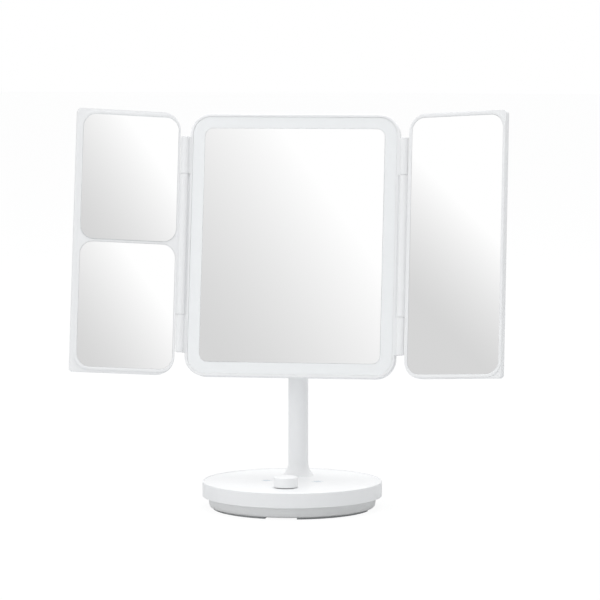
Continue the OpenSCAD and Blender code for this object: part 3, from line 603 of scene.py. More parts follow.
class MIRROR_OT_tray(PieceOperator):
    """Upper moulding of the base with its raised rim and the slot for the charging socket"""

    bl_idname = "mirror.tray"
    bl_label = "Tray"

    def build(self):
        size = self.base
        high = corners("base_tray")[1]
        radius, rim_z = high.x, high.z
        skirt_z = corners("base_bottom")[1].z - FLANGE_T
        tray_z = rim_z - size.rim_h
        piece = turned(
            "tray_moulding",
            [
                (0, tray_z - size.top_t), (radius - size.wall, tray_z - size.top_t),
                (radius - size.wall, skirt_z), (radius, skirt_z), (radius, rim_z),
                (radius - size.rim_w, rim_z), (radius - size.rim_w, tray_z), (0, tray_z),
            ],
        )

        def ring(r, z):
            return lambda edge: level(edge, 2, z) and abs(edge.verts[0].co.xy.length - r) < TINY

        soften(piece, size.rim_r, ring(radius, rim_z), 6)
        soften(piece, size.rim_h / 2, ring(radius - size.rim_w, rim_z), 3)
        soften(piece, size.rim_h / 2, ring(radius - size.rim_w, tray_z), 3)
        soften(piece, SLIGHT_R, ring(radius, skirt_z), 3)
        socket = corners("charge_socket")
        gap = Vector((CLEAR, OVER, CLEAR))
        slot = plate("slot", (socket[0] - gap, socket[1] + gap), SLOT_R, 6)
        combine(piece, "DIFFERENCE", slot)
        hand_over(piece, WORLD, "base", "white_plastic", "base_tray")


def foot_arcs(name, grow, low, high, profile=()):
    """Ring cut by a cross into the outline of the four feet, grown by that much all round. The profile
    gives points of its underside as (share of the width, height)."""
    verts = frame["nodes"]["rubber_feet"].data.vertices
    spans = [vert.co.xy.length for vert in verts]
    inner, outer = min(spans) - grow, max(spans) + grow
    gap = min(abs(vert.co.x) for vert in verts) - grow
    under = [(inner + share * (outer - inner), low + height) for share, height in profile]
    ring = turned(name, [(inner, low), *under, (outer, low), (outer, high), (inner, high), (inner, low)])
    for scale in ((2 * gap, 3 * outer, 4 * high), (3 * outer, 2 * gap, 4 * high)):
        combine(ring, "DIFFERENCE", block("gap", (0, 0, 0), scale))
    return ring


class MIRROR_OT_step(PieceOperator):
    """Lower step of the base with its screw holes and the seats of the feet"""

    bl_idname = "mirror.step"
    bl_label = "Step"

    def build(self):
        size = self.base
        low, high = corners("base_bottom")
        flange_r, flange_z, floor_z = high.x, high.z, low.z
        top_z = flange_z - FLANGE_T
        top_r = flange_r - STEP_LEDGE
        bottom_r = top_r - size.step_taper
        inside_z, inside_r = floor_z + STEP_FLOOR, flange_r - FLANGE_W
        piece = turned(
            "step_moulding",
            [
                (0, inside_z), (0, floor_z), (bottom_r, floor_z), (top_r, top_z), (flange_r, top_z),
                (flange_r, flange_z), (inside_r, flange_z), (inside_r, inside_z), (0, inside_z),
            ],
        )
        soften(
            piece, size.step_r,
            lambda edge: level(edge, 2, floor_z) and edge.verts[0].co.xy.length > bottom_r - TINY, 6,
        )
        cutters = [foot_arcs("seats", CLEAR, floor_z - OVER, corners("rubber_feet")[1].z)]
        for box in solids("base_screws"):
            place = middle(box)
            radius = half_width(box) + CLEAR
            cutters.append(rod("sink", 2, floor_z - OVER, floor_z + SINK_H, place.xy, radius, 40))
        combine(piece, "DIFFERENCE", *cutters)
        soften_at(piece, CLEAR, 2, floor_z, 2)
        hand_over(piece, WORLD, "base", "base_plastic", "base_bottom")


class MIRROR_OT_feet(PieceOperator):
    """Four curved rubber feet, each with a moulded groove"""

    bl_idname = "mirror.feet"
    bl_label = "Feet"

    def build(self):
        high = corners("rubber_feet")[1].z
        profile = [(0.36, 0), (0.4, GROOVE), (0.6, GROOVE), (0.64, 0)]
        piece = foot_arcs("foot_pads", 0, 0, high, profile)
        soften(piece, self.base.foot_r, lambda edge: sharp(edge, 80) and not level(edge, 2, high), 3)
        hand_over(piece, WORLD, "base", "rubber", "rubber_feet")


class MIRROR_OT_knob(PieceOperator):
    """Dimmer knob with a slightly dished top"""

    bl_idname = "mirror.knob"
    bl_label = "Knob"

    def build(self):
        size = self.base
        box = corners("dimmer_knob")
        radius = half_width(box)
        low, high = box[0].z, box[1].z
        inner = radius - size.knob_wall
        dish_r = 0.78 * radius
        centre = middle(box).xy
        piece = turned(
            "knob_cap",
            [
                (0, high - size.knob_wall), (inner, high - size.knob_wall), (inner, low), (radius, low),
                (radius, high), (dish_r, high), (0.7 * dish_r, high - 0.6 * size.knob_dish),
                (0.35 * dish_r, high - 0.9 * size.knob_dish), (0, high - size.knob_dish),
            ],
            centre,
            steps=96,
        )
        for z, round_r, steps in ((high, size.knob_edge, 6), (low, KNOB_FOOT_R, 3)):
            soften(
                piece, round_r,
                lambda edge: level(edge, 2, z) and (edge.verts[0].co.xy - centre).length > radius - TINY,
                steps,
            )
        hand_over(piece, WORLD, "knob", "white_plastic", "dimmer_knob")


class MIRROR_OT_marks(PieceOperator):
    """Printed brightness marks on the tray: a small sun for dim and a larger one for bright"""

    bl_idname = "mirror.marks"
    bl_label = "Marks"

    def sun(self, side, disc, ray):
        """A disc with eight rays, as shares of the mark's radius."""
        size = self.base
        tray_z = corners("base_tray")[1].z - size.rim_h
        place = Vector((side * size.mark_x, -size.mark_y, tray_z))
        parts = [rod("disc", 2, tray_z - INK_H, tray_z + INK_H, place.xy, disc * size.mark_r, 32)]
        for i in range(8):
            turn = Matrix.Rotation(i * math.pi / 4, 3, "Z")
            spot = place + turn @ Vector(((ray[0] + ray[1]) / 2 * size.mark_r, 0, 0))
            scale = ((ray[1] - ray[0]) * size.mark_r, 0.2 * size.mark_r, 2 * INK_H)
            bar = block("ray", spot, scale, rotation=(0, 0, i * math.pi / 4))
            with editing(bar, "EDGE"):
                pick("edges", lambda edge: abs(edge.verts[0].co.z - edge.verts[1].co.z) > INK_H)
                bpy.ops.mesh.bevel(offset=0.09 * size.mark_r, segments=3, affect="EDGES")
            parts.append(bar)
        return parts

    def build(self):
        parts = self.sun(LEFT, 0.6, (0.72, 0.9)) + self.sun(RIGHT, 0.6, (0.72, 1.0))
        piece = joined("brightness_marks", parts)
        hand_over(piece, WORLD, "base", "white_plastic", finish="pad_ink")


class MIRROR_OT_stem(PieceOperator):
    """Stem with its flared foot"""

    bl_idname = "mirror.stem"
    bl_label = "Stem"

    def build(self):
        size = self.base
        box = corners("stem_tube")
        tray_z = corners("base_tray")[1].z - size.rim_h
        stem_r = size.stem_d / 2
        flare_r = half_width(box)
        flare_w = flare_r - stem_r
        bow = (size.flare_h**2 + flare_w**2) / (2 * flare_w)
        start = 180 + math.degrees(math.asin(size.flare_h / bow))
        bore = stem_r - STEM_WALL
        piece = turned(
            "stem_tube_moulding",
            [
                (bore, tray_z), (flare_r, tray_z),
                *arc(stem_r + bow, tray_z + size.flare_h, bow, start, 180, 20),
                (stem_r, box[1].z), (bore, box[1].z), (bore, tray_z),
            ],
            PIVOT.xy,
            steps=96,
        )
        soften_at(piece, SLIGHT_R, 2, box[1].z)
        hand_over(piece, WORLD, "base", "white_plastic", "stem_tube", smooth=30)


class MIRROR_OT_yoke(PieceOperator):
    """Fork at the top of the stem with its two caps"""

    bl_idname = "mirror.yoke"
    bl_label = "Yoke"

    def build(self):
        box = corners("tilt_yoke")
        half_w = half_width(box)
        ear_r = box[1].z - PIVOT.z
        stem_top = corners("stem_tube")[1].z
        slot_z = corners("stem_cable")[1].z
        slot_half = corners("friction_washers")[1].x
        stem_r = self.base.stem_d / 2
        cone_top = stem_top + CONE_H
        piece = turned(
            "yoke_moulding",
            [(0, stem_top), (stem_r, stem_top), (half_w, cone_top), (half_w, slot_z + LAP),
             (0, slot_z + LAP), (0, stem_top)],
            PIVOT.xy,
            steps=96,
        )
        ears = rod("ears", 0, -half_w, half_w, PIVOT.yz, ear_r, 96)
        cheeks = block(
            "cheeks", (0, PIVOT.y, (PIVOT.z + slot_z) / 2), (2 * half_w, 2 * ear_r, PIVOT.z - slot_z)
        )
        drum = rod("drum", 2, slot_z - OVER, PIVOT.z + OVER, PIVOT.xy, half_w + OVER, 96)
        combine(cheeks, "INTERSECT", drum)
        combine(piece, "UNION", ears, cheeks)
        gap = block("gap", (0, PIVOT.y, slot_z + 2 * ear_r), (2 * slot_half, 4 * ear_r, 4 * ear_r))
        cap = corners("yoke_caps")
        cap_r = (cap[1].z - cap[0].z) / 2
        seats = [
            rod("seat", 0, min(x0, x1), max(x0, x1), PIVOT.yz, cap_r + CLEAR, 64)
            for x0, x1 in ((side * (half_w - LAP), side * (half_w + OVER)) for side in (LEFT, RIGHT))
        ]
        combine(piece, "DIFFERENCE", gap, *seats)
        soften(piece, YOKE_R, lambda edge: edge.verts[0].co.z > slot_z + OVER and sharp(edge, 60), 3)
        hand_over(piece, WORLD, "base", "white_plastic", "tilt_yoke")
        covers = []
        for side in (LEFT, RIGHT):
            x0, x1 = sorted((side * (half_w - LAP), side * half_w))
            cover = rod("cover", 0, x0, x1, PIVOT.yz, cap_r, 64)
            soften_at(cover, SLIGHT_R, 0, side * half_w)
            covers.append(cover)
        hand_over(joined("yoke_cap_covers", covers), WORLD, "base", "white_plastic", "yoke_caps")


def screw(name, radius, height):
    """A pan head with a cross recess, its top at the origin's front: Y runs from 0 back to height."""
    head = rod(name, 1, 0, height, (0, 0), radius, 40)
    soften_at(head, 0.35 * radius, 1, 0, 4)
    long, deep, thin = 1.2 * radius, 0.9 * height, 0.26 * radius
    arms = [block("arm", (0, 0, 0), scale) for scale in ((long, deep, thin), (thin, deep, long))]
    combine(head, "DIFFERENCE", *arms)
    return head


class MIRROR_OT_screws(PieceOperator):
    """Cross-head screws of the rear shell, the tilt bracket and the base"""

    bl_idname = "mirror.screws"
    bl_label = "Screws"

    def build(self):
        for node_name, turn, axes, body in (
            ("head_screws", Matrix.Rotation(math.pi, 4, "Z"), HEAD, "head"),
            ("bracket_screws", Matrix.Rotation(math.pi, 4, "Z"), HEAD, "head"),
            ("base_screws", Matrix.Rotation(math.pi / 2, 4, "X"), WORLD, "base"),
        ):
            boxes = solids(node_name, axes)
            radius = half_width(boxes[0])
            head = screw("screw", radius, SCREW_HEADS[node_name])
            head.matrix_world = turn
            choose(head)
            bpy.ops.object.transform_apply(location=True, rotation=True, scale=True)
            places = []
            for box in boxes:
                place = middle(box)
                if body == "base":
                    place.z = box[0].z
                else:
                    place.y = box[1].y
                places.append(place)
            piece = joined(node_name.replace("_screws", "_screw_heads"), copies(head, places))
            hand_over(piece, axes, body, "steel", node_name)


class MIRROR_OT_socket(PieceOperator):
    """Tongue inside the charging socket"""

    bl_idname = "mirror.socket"
    bl_label = "Socket tongue"

    def build(self):
        low, high = corners("charge_socket")
        centre = middle((low, high))
        half = Vector((TONGUE_W / 2, 0, TONGUE_H / 2))
        box = (
            Vector((centre.x - half.x, low.y + TONGUE_FRONT, centre.z - half.z)),
            Vector((centre.x + half.x, high.y - TONGUE_BACK, centre.z + half.z)),
        )
        piece = plate("socket_tongue", box, SLIGHT_R, 4)
        soften_at(piece, FINE_R, 1, box[1].y, 2)
        hand_over(piece, WORLD, "base", "steel", finish="socket_nylon")


# ---- Pieces of the head ----


class MIRROR_OT_bracket(PieceOperator):
    """Plate and lug that carry the head on the yoke"""

    bl_idname = "mirror.bracket"
    bl_label = "Bracket"

    def build(self):
        low, high = corners("tilt_bracket", HEAD)
        shell_back = corners("rear_shell", HEAD)[1].y
        lug_half_w = corners("friction_washers")[1].x - BRACKET_EDGE
        lug_r = high.y
        sheet = deep((low, high), shell_back, shell_back + BRACKET_T)
        piece = plate("bracket_moulding", sheet, BRACKET_R)
        soften_at(piece, BRACKET_EDGE, 1, sheet[1].y, 4)
        arm = block(
            "arm", (0, (shell_back + LAP) / 2, 0), (2 * lug_half_w, -shell_back - LAP, 2 * (lug_r - LAP))
        )
        eye = rod("eye", 0, -lug_half_w, lug_half_w, (0, 0), lug_r, 96)
        combine(piece, "UNION", arm, eye)

        def rim(edge):
            beside = all(abs(abs(vert.co.x) - lug_half_w) < TINY for vert in edge.verts)
            return beside and sharp(edge, 60) and max(vert.co.y for vert in edge.verts) > sheet[1].y + TINY

        soften(piece, LUG_R, rim, 3)
        hand_over(piece, HEAD, "head", "white_plastic", "tilt_bracket")


class MIRROR_OT_centre_frame(PieceOperator):
    """Front frame of the centre panel with its ledge and the four end knuckles of the hinges"""

    bl_idname = "mirror.centre_frame"
    bl_label = "Centre frame"

    def build(self):
        size = self.head
        shell = corners("rear_shell", HEAD)
        ring = corners("light_diffuser", HEAD)
        width = corners("centre_frame", HEAD)[1].x
        pin = corners("right_hinge_pin", HEAD)
        front = middle(pin).y + FRAME_FRONT
        back = front + FRAME_DEPTH
        box = deep(shell, front, back)
        piece = plate("centre_frame_moulding", box, size.panel_r, PANEL_STEPS)
        soften_at(piece, size.front_r, 1, front, 5)
        soften_at(piece, size.part_r, 1, back, 3)
        grow = Vector((size.gap, 0, size.gap))
        ledge = Vector((size.ledge, 0, size.ledge))
        opening = deep((ring[0] - grow, ring[1] + grow), front - OVER, ring[1].y)
        through = deep((opening[0] + ledge, opening[1] - ledge), front - OVER, back + OVER)
        behind = deep(opening, ring[1].y + size.ledge, back + OVER)
        inner_r = size.panel_r - size.rim
        cutters = [
            plate("opening", opening, inner_r, PANEL_STEPS),
            plate("through", through, inner_r - size.ledge, PANEL_STEPS),
            plate("behind", behind, inner_r, PANEL_STEPS),
        ]
        combine(piece, "DIFFERENCE", *cutters)
        soften_at(piece, size.seat_r, 1, front, 3)
        hinge = middle(pin)
        top = pin[1].z + PIN_SINK
        knuckle = size.knuckle
        radius = width - hinge.x
        root = shell[1].x - LAP
        parts = []
        for x in (-hinge.x, hinge.x):
            for low, high in ((-top, knuckle - top), (top - knuckle, top)):
                barrel = rod("barrel", 2, low, high, (x, hinge.y), radius, 48)
                soften(barrel, size.barrel_r, lambda edge: level(edge, 2, low) or level(edge, 2, high), 4)
                side = math.copysign(1, x)
                back_y = hinge.y + radius
                spot = (side * (abs(x) + root) / 2, (front + back_y) / 2 - ARM_GROW, (low + high) / 2)
                scale = (abs(x) - root, back_y - front + 2 * ARM_GROW, high - low - 2 * CLEAR)
                arm = block("arm", spot, scale)
                parts += [barrel, arm]
            outer = shell[1].x + size.infill_w
            infill = block(
                "infill", (side * (root + outer) / 2, front + size.infill_in + size.infill_t / 2, 0),
                (outer - root, size.infill_t, 2 * top),
            )
            hollow = rod("hollow", 2, -top, top, (x, hinge.y), radius + size.knuckle_gap, 48)
            combine(infill, "DIFFERENCE", hollow)
            parts.append(infill)
        combine(piece, "UNION", *parts)
        hand_over(piece, HEAD, "head", "white_plastic", "centre_frame")


class MIRROR_OT_diffuser(PieceOperator):
    """Frosted ring round the centre mirror"""

    bl_idname = "mirror.diffuser"
    bl_label = "Light ring"

    def build(self):
        size = self.head
        box = corners("light_diffuser", HEAD)
        glass = corners("centre_mirror", HEAD)
        radius = size.panel_r - size.rim - size.gap
        piece = plate("light_ring", box, radius, PANEL_STEPS)
        gap = Vector((size.gap, OVER, size.gap))
        hole = (glass[0] - gap, glass[1] + gap)
        combine(piece, "DIFFERENCE", plate("hole", hole, size.glass_r + size.gap))
        soften_at(piece, FINE_R, 1, box[0].y, 2)
        hand_over(piece, HEAD, "head", "diffuser_plastic", "light_diffuser")


def silver(piece):
    """Silvered glass in front, arris and all, and ground glass round the edge."""
    piece.data.materials.append(surface("silvered_glass"))
    piece.data.materials.append(surface("ground_glass"))
    with editing(piece):
        pick("faces", lambda face: face.normal.y > -0.5)
        piece.active_material_index = 1
        bpy.ops.object.material_slot_assign()


class MIRROR_OT_centre_mirror(PieceOperator):
    """Centre mirror with a ground arris"""

    bl_idname = "mirror.centre_mirror"
    bl_label = "Centre mirror"

    def build(self):
        size = self.head
        box = corners("centre_mirror", HEAD)
        piece = plate("centre_glass", box, size.glass_r)
        soften_at(piece, size.arris, 1, box[0].y, 1)
        silver(piece)
        hand_over(piece, HEAD, "head", "mirror_glass", "centre_mirror", smooth=20)


class MIRROR_OT_rear_shell(PieceOperator):
    """Back of the centre panel with its sunk screw seats"""

    bl_idname = "mirror.rear_shell"
    bl_label = "Rear shell"

    def build(self):
        size = self.head
        low, high = corners("rear_shell", HEAD)
        front = high.y - SHELL_DEPTH
        box = deep((low, high), front, high.y)
        piece = plate("rear_shell_moulding", box, size.panel_r, PANEL_STEPS)
        soften_at(piece, size.part_r, 1, front, 3)
        soften_at(piece, size.back_r, 1, high.y, 7)
        sinks = []
        for screw_box in solids("head_screws", HEAD):
            place = middle(screw_box)
            radius = half_width(screw_box) + FINE_R
            sinks.append(rod("sink", 1, high.y - SINK_H, high.y + OVER, (place.x, place.z), radius, 40))
        combine(piece, "DIFFERENCE", *sinks)
        soften_at(piece, SLIGHT_R, 1, high.y)
        hand_over(piece, HEAD, "head", "white_plastic", "rear_shell")


# ---- Pieces of the wings ----


def wing_name(side):
    """First word of the wing's nodes."""
    return "left" if side == LEFT else "right"


class MIRROR_OT_wing_frames(PieceOperator):
    """Front frame of each wing with its middle knuckle and the seats of its mirrors"""

    bl_idname = "mirror.wing_frames"
    bl_label = "Wing frames"

    def wing(self, side):
        size = self.head
        axes = WINGS[side]
        word = wing_name(side)
        cover = corners(f"{word}_wing_back", axes)
        front, back = 0.0, cover[0].y
        box = deep(cover, front, back)
        radii = (size.wing_inner_r, size.wing_outer_r)[::side]
        piece = plate(f"{word}_wing_moulding", box, radii, WING_STEPS)
        soften_at(piece, size.front_r, 1, front, 5)
        soften_at(piece, size.part_r, 1, back, 3)
        barrel_r = -corners(f"{word}_wing_frame", axes)[0].y
        half = corners("right_hinge_pin", HEAD)[1].z + PIN_SINK - size.knuckle - size.knuckle_gap
        barrel = rod("barrel", 2, -half, half, (0, 0), barrel_r, 48)
        soften(barrel, CLEAR, lambda edge: level(edge, 2, -half) or level(edge, 2, half), 2)
        reach = WING_ROOT + LAP
        arm = block(
            "arm", (side * reach / 2, (size.arm_in + barrel_r) / 2, 0),
            (reach, barrel_r - size.arm_in, 2 * half),
        )
        glasses = ["left_upper_mirror", "left_lower_mirror"] if side == LEFT else ["right_mirror"]
        boxes = [corners(glass, axes) for glass in glasses]
        rim = Vector((size.bezel_w, OVER, size.bezel_w))
        outline = (boxes[-1][0] - rim, boxes[0][1] + rim)
        radius = size.wing_glass_r + size.bezel_w
        bezel = plate("bezel", outline, radius, WING_STEPS)
        border = block(
            "border", middle(box) - Vector((0, (back - front) / 2 + OVER, 0)),
            (2 * (box[1].x - box[0].x), 2 * (OVER + size.bezel_h), 2 * (box[1].z - box[0].z)),
        )
        combine(border, "DIFFERENCE", bezel)
        combine(piece, "DIFFERENCE", border)
        soften_at(piece, BEZEL_R, 1, front, 4)
        combine(piece, "UNION", barrel, arm)
        seats = []
        for glass_low, glass_high in boxes:
            out = size.gap + 2 * size.slope_w
            grow = Vector((out, 0, out))
            seat = deep((glass_low - grow, glass_high + grow), front - 2 * size.slope_h, front - size.slope_h)
            radius = size.wing_glass_r + out
            cutter = plate("seat", seat, radius, WING_STEPS)
            with editing(cutter):
                pick("faces", lambda face: level(face, 1, front - size.slope_h))
                bpy.ops.mesh.inset(thickness=2 * size.slope_w)
                bpy.ops.transform.translate(value=(0, 2 * size.slope_h, 0))
                depth = glass_high.y + SEAT_PLAY - size.slope_h
                bpy.ops.mesh.extrude_region_move(TRANSFORM_OT_translate={"value": (0, depth, 0)})
            seats.append(cutter)
        combine(piece, "DIFFERENCE", *seats)
        soften(piece, FINE_R, lambda edge: level(edge, 1, front) and sharp(edge, 15), 2)
        hand_over(piece, axes, f"{word}_wing", "white_plastic", f"{word}_wing_frame")

    def build(self):
        for side in (LEFT, RIGHT):
            self.wing(side)


class MIRROR_OT_wing_backs(PieceOperator):
    """Back cover of each wing"""

    bl_idname = "mirror.wing_backs"
    bl_label = "Wing backs"

    def build(self):
        size = self.head
        for side in (LEFT, RIGHT):
            word = wing_name(side)
            box = corners(f"{word}_wing_back", WINGS[side])
            radii = (size.wing_inner_r, size.wing_outer_r)[::side]
            piece = plate(f"{word}_wing_cover", box, radii, WING_STEPS)
            soften_at(piece, size.part_r, 1, box[0].y, 3)
            soften_at(piece, size.wing_back_r, 1, box[1].y, 6)
            hand_over(piece, WINGS[side], f"{word}_wing", "white_plastic", f"{word}_wing_back")


class MIRROR_OT_wing_mirrors(PieceOperator):
    """Two mirrors on the left wing, the upper one hollow so that it magnifies, and one on the right"""

    bl_idname = "mirror.wing_mirrors"
    bl_label = "Wing mirrors"

    def hollow(self, piece, box):
        """Sinks the front face towards its middle as a shallow bowl."""
        low, high = box
        centre = middle(box)
        skin = low.y + self.head.arris + TINY
        with editing(piece):
            for axis, count in ((0, 22), (2, 28)):
                for i in range(1, count):
                    spot = centre.copy()
                    spot[axis] = low[axis] + (high[axis] - low[axis]) * i / count
                    normal = Vector((axis == 0, 0, axis == 2))
                    pick("faces", lambda face: all(vert.co.y < skin for vert in face.verts))
                    bpy.ops.mesh.bisect(plane_co=spot, plane_no=normal)
            mesh = bmesh.from_edit_mesh(piece.data)
            reach = math.hypot(centre.x - low.x, centre.z - low.z)
            for vert in mesh.verts:
                if vert.co.y < skin:
                    out = math.hypot(vert.co.x - centre.x, vert.co.z - centre.z) / reach
                    vert.co.y += self.head.hollow * (1 - out**2)
            bmesh.update_edit_mesh(piece.data)

    def build(self):
        size = self.head
        for side, name in ((LEFT, "left_upper"), (LEFT, "left_lower"), (RIGHT, "right")):
            box = corners(f"{name}_mirror", WINGS[side])
            piece = plate(f"{name}_glass", box, size.wing_glass_r)
            soften_at(piece, size.arris, 1, box[0].y, 1)
            silver(piece)
            if name == "left_upper":
                self.hollow(piece, box)
            body = f"{wing_name(side)}_wing"
            hand_over(piece, WINGS[side], body, "mirror_glass", f"{name}_mirror", smooth=20)


class MIRROR_OT_cad_finishes(PieceOperator):
    """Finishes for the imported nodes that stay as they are"""

    bl_idname = "mirror.cad_finishes"
    bl_label = "Finish the other nodes"

    def build(self):
        for part in frame["record"]["subparts"]:
            piece = frame["nodes"][part["node"]]
            for place in piece.material_slots:
                place.material = surface(FINISH_OF_SLOT[part["material_slot"]])


# ---- Stage ----


CARD_EDGE = 0.3  # how far a card reaches past its mirror's view, as a share of it
CARD_SLOPE = (1.11, 1.07, -0.083)  # rise of a card's brightness to the right and upwards, and its offset
STEEP_SLOPE = (0.94, 2.6, -0.78)  # the same for the right wing's card
CARD_SPAN = (0.05, 1.45)  # sums of both rises between which the brightness goes from low to high
CARD_CURVE = 1.35
FLOOR_GLOW = 1.05
LAMPS = (
    # name, place, target, width
    ("key", (-1.0, -1.15, 0.42), (0, 0, 0.15), 1.0),
    ("top", (0.1, -0.1, 2.2), (0, 0, 0), 1.8),
    ("rear", (0.05, 0.38, 2.2), (0, 0, 0), 1.0),
)


def looking(place, back):
    """Where a camera or a lamp stands at a place with its back turned along a vector."""
    return Matrix.Translation(place) @ back.to_track_quat("Z", "Y").to_matrix().to_4x4()


class MIRROR_OT_stage(PieceOperator):
    """Floor, light, reflection cards and camera"""

    bl_idname = "mirror.stage"
    bl_label = "Stage"

    def camera(self, studio):
        turn, pitch = studio.azimuth, studio.pitch
        flat = math.cos(pitch)
        back = Vector((math.sin(turn) * flat, -math.cos(turn) * flat, math.sin(pitch)))
        right = Vector((math.cos(turn), math.sin(turn), 0))
        target = Vector((0, 0, studio.target_z)) + right * studio.target_x
        data = bpy.data.cameras.new("camera")
        data.lens = studio.lens
        data.clip_end = 60
        camera = bpy.data.objects.new("camera", data)
        camera.matrix_world = looking(target + back * studio.distance, back)
        bpy.context.scene.collection.objects.link(camera)
        bpy.context.scene.camera = camera
        return camera

    def world(self, studio):
        world = bpy.data.worlds.new("studio")
        bpy.context.scene.world = world
        world.use_nodes = True
        tree = world.node_tree
        tree.nodes.clear()
        path = node(tree, "LightPath").outputs
        seen = maths(tree, "MAXIMUM", path["Is Camera Ray"], path["Is Glossy Ray"])
        seen = maths(tree, "MAXIMUM", seen, path["Is Transmission Ray"])
        strength = node(
            tree, "MapRange",
            {"Value": seen, "To Min": studio.ambient, "To Max": 1.0},
        )
        shader = node(
            tree, "Background", {"Color": (1, 1, 1, 1), "Strength": strength.outputs["Result"]}
        )
        node(tree, "OutputWorld", {"Surface": shader.outputs["Background"]})

    def floor(self, studio):
        piece = add("plane", "floor", size=24)
        material = blank("floor_paper")
        tree = material.node_tree
        path = node(tree, "LightPath").outputs
        paper = node(tree, "BsdfDiffuse", {"Color": (*studio.floor, 1), "Roughness": 1.0})
        glow = node(tree, "Emission", {"Color": (1, 1, 1, 1), "Strength": FLOOR_GLOW})
        share = maths(tree, "MULTIPLY", path["Is Camera Ray"], 1 - studio.floor_share)
        shader = node(tree, "MixShader", {0: share, 1: paper.outputs[0], 2: glow.outputs[0]})
        node(tree, "OutputMaterial", {"Surface": shader.outputs[0]})
        piece.data.materials.append(material)

    def lamp(self, name, place, target, width, power):
        data = bpy.data.lights.new(name, "AREA")
        data.shape = "DISK"
        data.size = width
        data.energy = power
        lamp = bpy.data.objects.new(name, data)
        lamp.matrix_world = looking(place, Vector(place) - Vector(target))
        lamp.visible_glossy = False
        bpy.context.scene.collection.objects.link(lamp)

    def card(self, name, axes, glass, studio, camera, slope=CARD_SLOPE, hollow=0.0):
        """A card that only mirrors see, placed where the main camera sees it in that mirror."""
        box = corners(glass, axes)
        eye = axes.inverted() @ camera.matrix_world.translation
        centre = middle(box)
        span = box[1] - box[0]
        away = studio.card_reach
        scale = 1 + away / (box[0].y - eye.y)
        spot = centre * scale - eye * (scale - 1)
        spot.y = box[0].y - away
        bow = (span.x**2 + span.z**2) / 8
        spread = (scale - 4 * away * hollow / (2 * bow)) * (1 + 2 * CARD_EDGE)
        piece = add("plane", name, size=1, rotation=(math.pi / 2, 0, 0))
        grown = Matrix.Diagonal((span.x * spread, 1, span.z * spread, 1))
        piece.matrix_world = axes @ Matrix.Translation(spot) @ grown
        choose(piece)
        bpy.ops.object.transform_apply(location=True, rotation=True, scale=True)
        material = blank(name)
        tree = material.node_tree
        along = node(tree, "SeparateXYZ", {0: node(tree, "UVMap", uv_map="UVMap").outputs[0]})
        full = 1 + 2 * CARD_EDGE
        shares, edges = [], []
        for axis in (0, 1):
            start = slope[2] / 2 - CARD_EDGE * slope[axis]
            shares.append(maths(tree, "MULTIPLY_ADD", along.outputs[axis], full * slope[axis], start))
            off = maths(tree, "ABSOLUTE", maths(tree, "SUBTRACT", along.outputs[axis], 0.5))
            edges.append(node(
                tree, "MapRange",
                {"Value": off, "From Min": 0.52 / full, "From Max": 0.5},
                interpolation_type="SMOOTHSTEP",
            ))
        rise = node(
            tree, "MapRange",
            {"Value": maths(tree, "ADD", *shares), "From Min": CARD_SPAN[0], "From Max": CARD_SPAN[1]},
        )
        rise = maths(tree, "POWER", rise.outputs["Result"], CARD_CURVE)
        shade = node(
            tree, "MapRange",
            {"Value": rise, "To Min": studio.card_low, "To Max": studio.card_high},
        )
        glow = node(tree, "Emission", {"Strength": shade.outputs["Result"]})
        clear = node(tree, "BsdfTransparent")
        fade = maths(tree, "MAXIMUM", *(edge.outputs["Result"] for edge in edges))
        shader = node(tree, "MixShader", {0: fade, 1: glow.outputs[0], 2: clear.outputs[0]})
        node(tree, "OutputMaterial", {"Surface": shader.outputs[0]})
        material.cycles.emission_sampling = "NONE"
        piece.data.materials.append(material)
        for ray in ("camera", "diffuse", "shadow", "transmission"):
            setattr(piece, f"visible_{ray}", False)

    def build(self):
        scene = bpy.context.scene
        studio = scene.mirror_model.studio
        scene.view_settings.view_transform = "Standard"
        camera = self.camera(studio)
        self.world(studio)
        self.floor(studio)
        for name, place, target, width in LAMPS:
            self.lamp(name, place, target, width, getattr(studio, name))
        self.card("centre_card", HEAD, "centre_mirror", studio, camera)
        self.card("upper_card", WINGS[LEFT], "left_upper_mirror", studio, camera, hollow=self.head.hollow)
        self.card("lower_card", WINGS[LEFT], "left_lower_mirror", studio, camera)
        self.card("right_card", WINGS[RIGHT], "right_mirror", studio, camera, slope=STEEP_SLOPE)


OPERATORS = (
    MIRROR_OT_cad_finishes, MIRROR_OT_tray, MIRROR_OT_step, MIRROR_OT_feet, MIRROR_OT_knob, MIRROR_OT_marks,
    MIRROR_OT_stem, MIRROR_OT_yoke, MIRROR_OT_screws, MIRROR_OT_socket, MIRROR_OT_bracket,
    MIRROR_OT_centre_frame, MIRROR_OT_diffuser, MIRROR_OT_centre_mirror, MIRROR_OT_rear_shell,
    MIRROR_OT_wing_frames, MIRROR_OT_wing_backs, MIRROR_OT_wing_mirrors, MIRROR_OT_stage,
)


class MIRROR_PT_sidebar(bpy.types.Panel):
    """Lists the pieces and their sizes"""

    bl_label = "Trifold vanity mirror"
    bl_idname = "MIRROR_PT_sidebar"
    bl_space_type = "VIEW_3D"
    bl_region_type = "UI"
    bl_category = "Mirror"

    def draw(self, context):
        model = context.scene.mirror_model
        for group in (model.base, model.head, model.finishes, model.studio):
            box = self.layout.box()
            for name in group.bl_rna.properties.keys():
                if name not in ("rna_type", "name"):
                    box.prop(group, name)
        self.layout.prop(model, "steps")
        for operator in OPERATORS:
            self.layout.operator(operator.bl_idname)


CLASSES = (BaseSizes, HeadSizes, Finishes, Studio, MirrorModel, *OPERATORS, MIRROR_PT_sidebar)


def register():
    for item in CLASSES:
        bpy.utils.register_class(item)
    bpy.types.Scene.mirror_model = PointerProperty(type=MirrorModel)


def unregister():
    del bpy.types.Scene.mirror_model
    for item in reversed(CLASSES):
        bpy.utils.unregister_class(item)


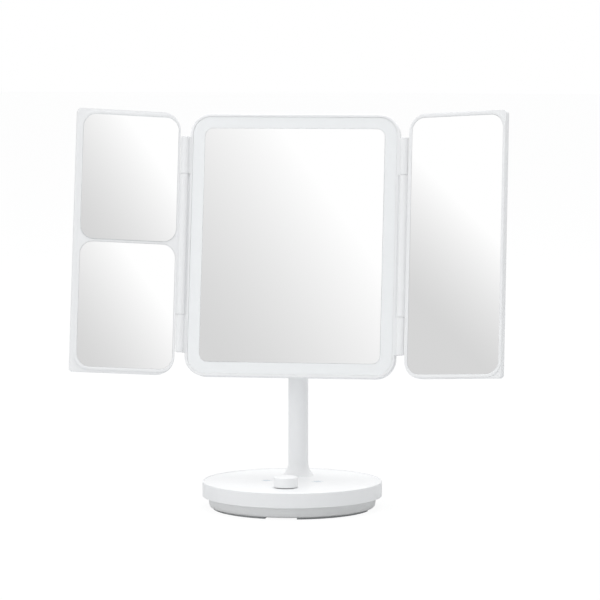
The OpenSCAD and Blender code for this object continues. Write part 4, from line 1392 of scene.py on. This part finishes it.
def main():
    register()
    for operator in OPERATORS:
        group, name = operator.bl_idname.split(".")
        getattr(getattr(bpy.ops, group), name)()


if __name__ == "__main__":
    main()
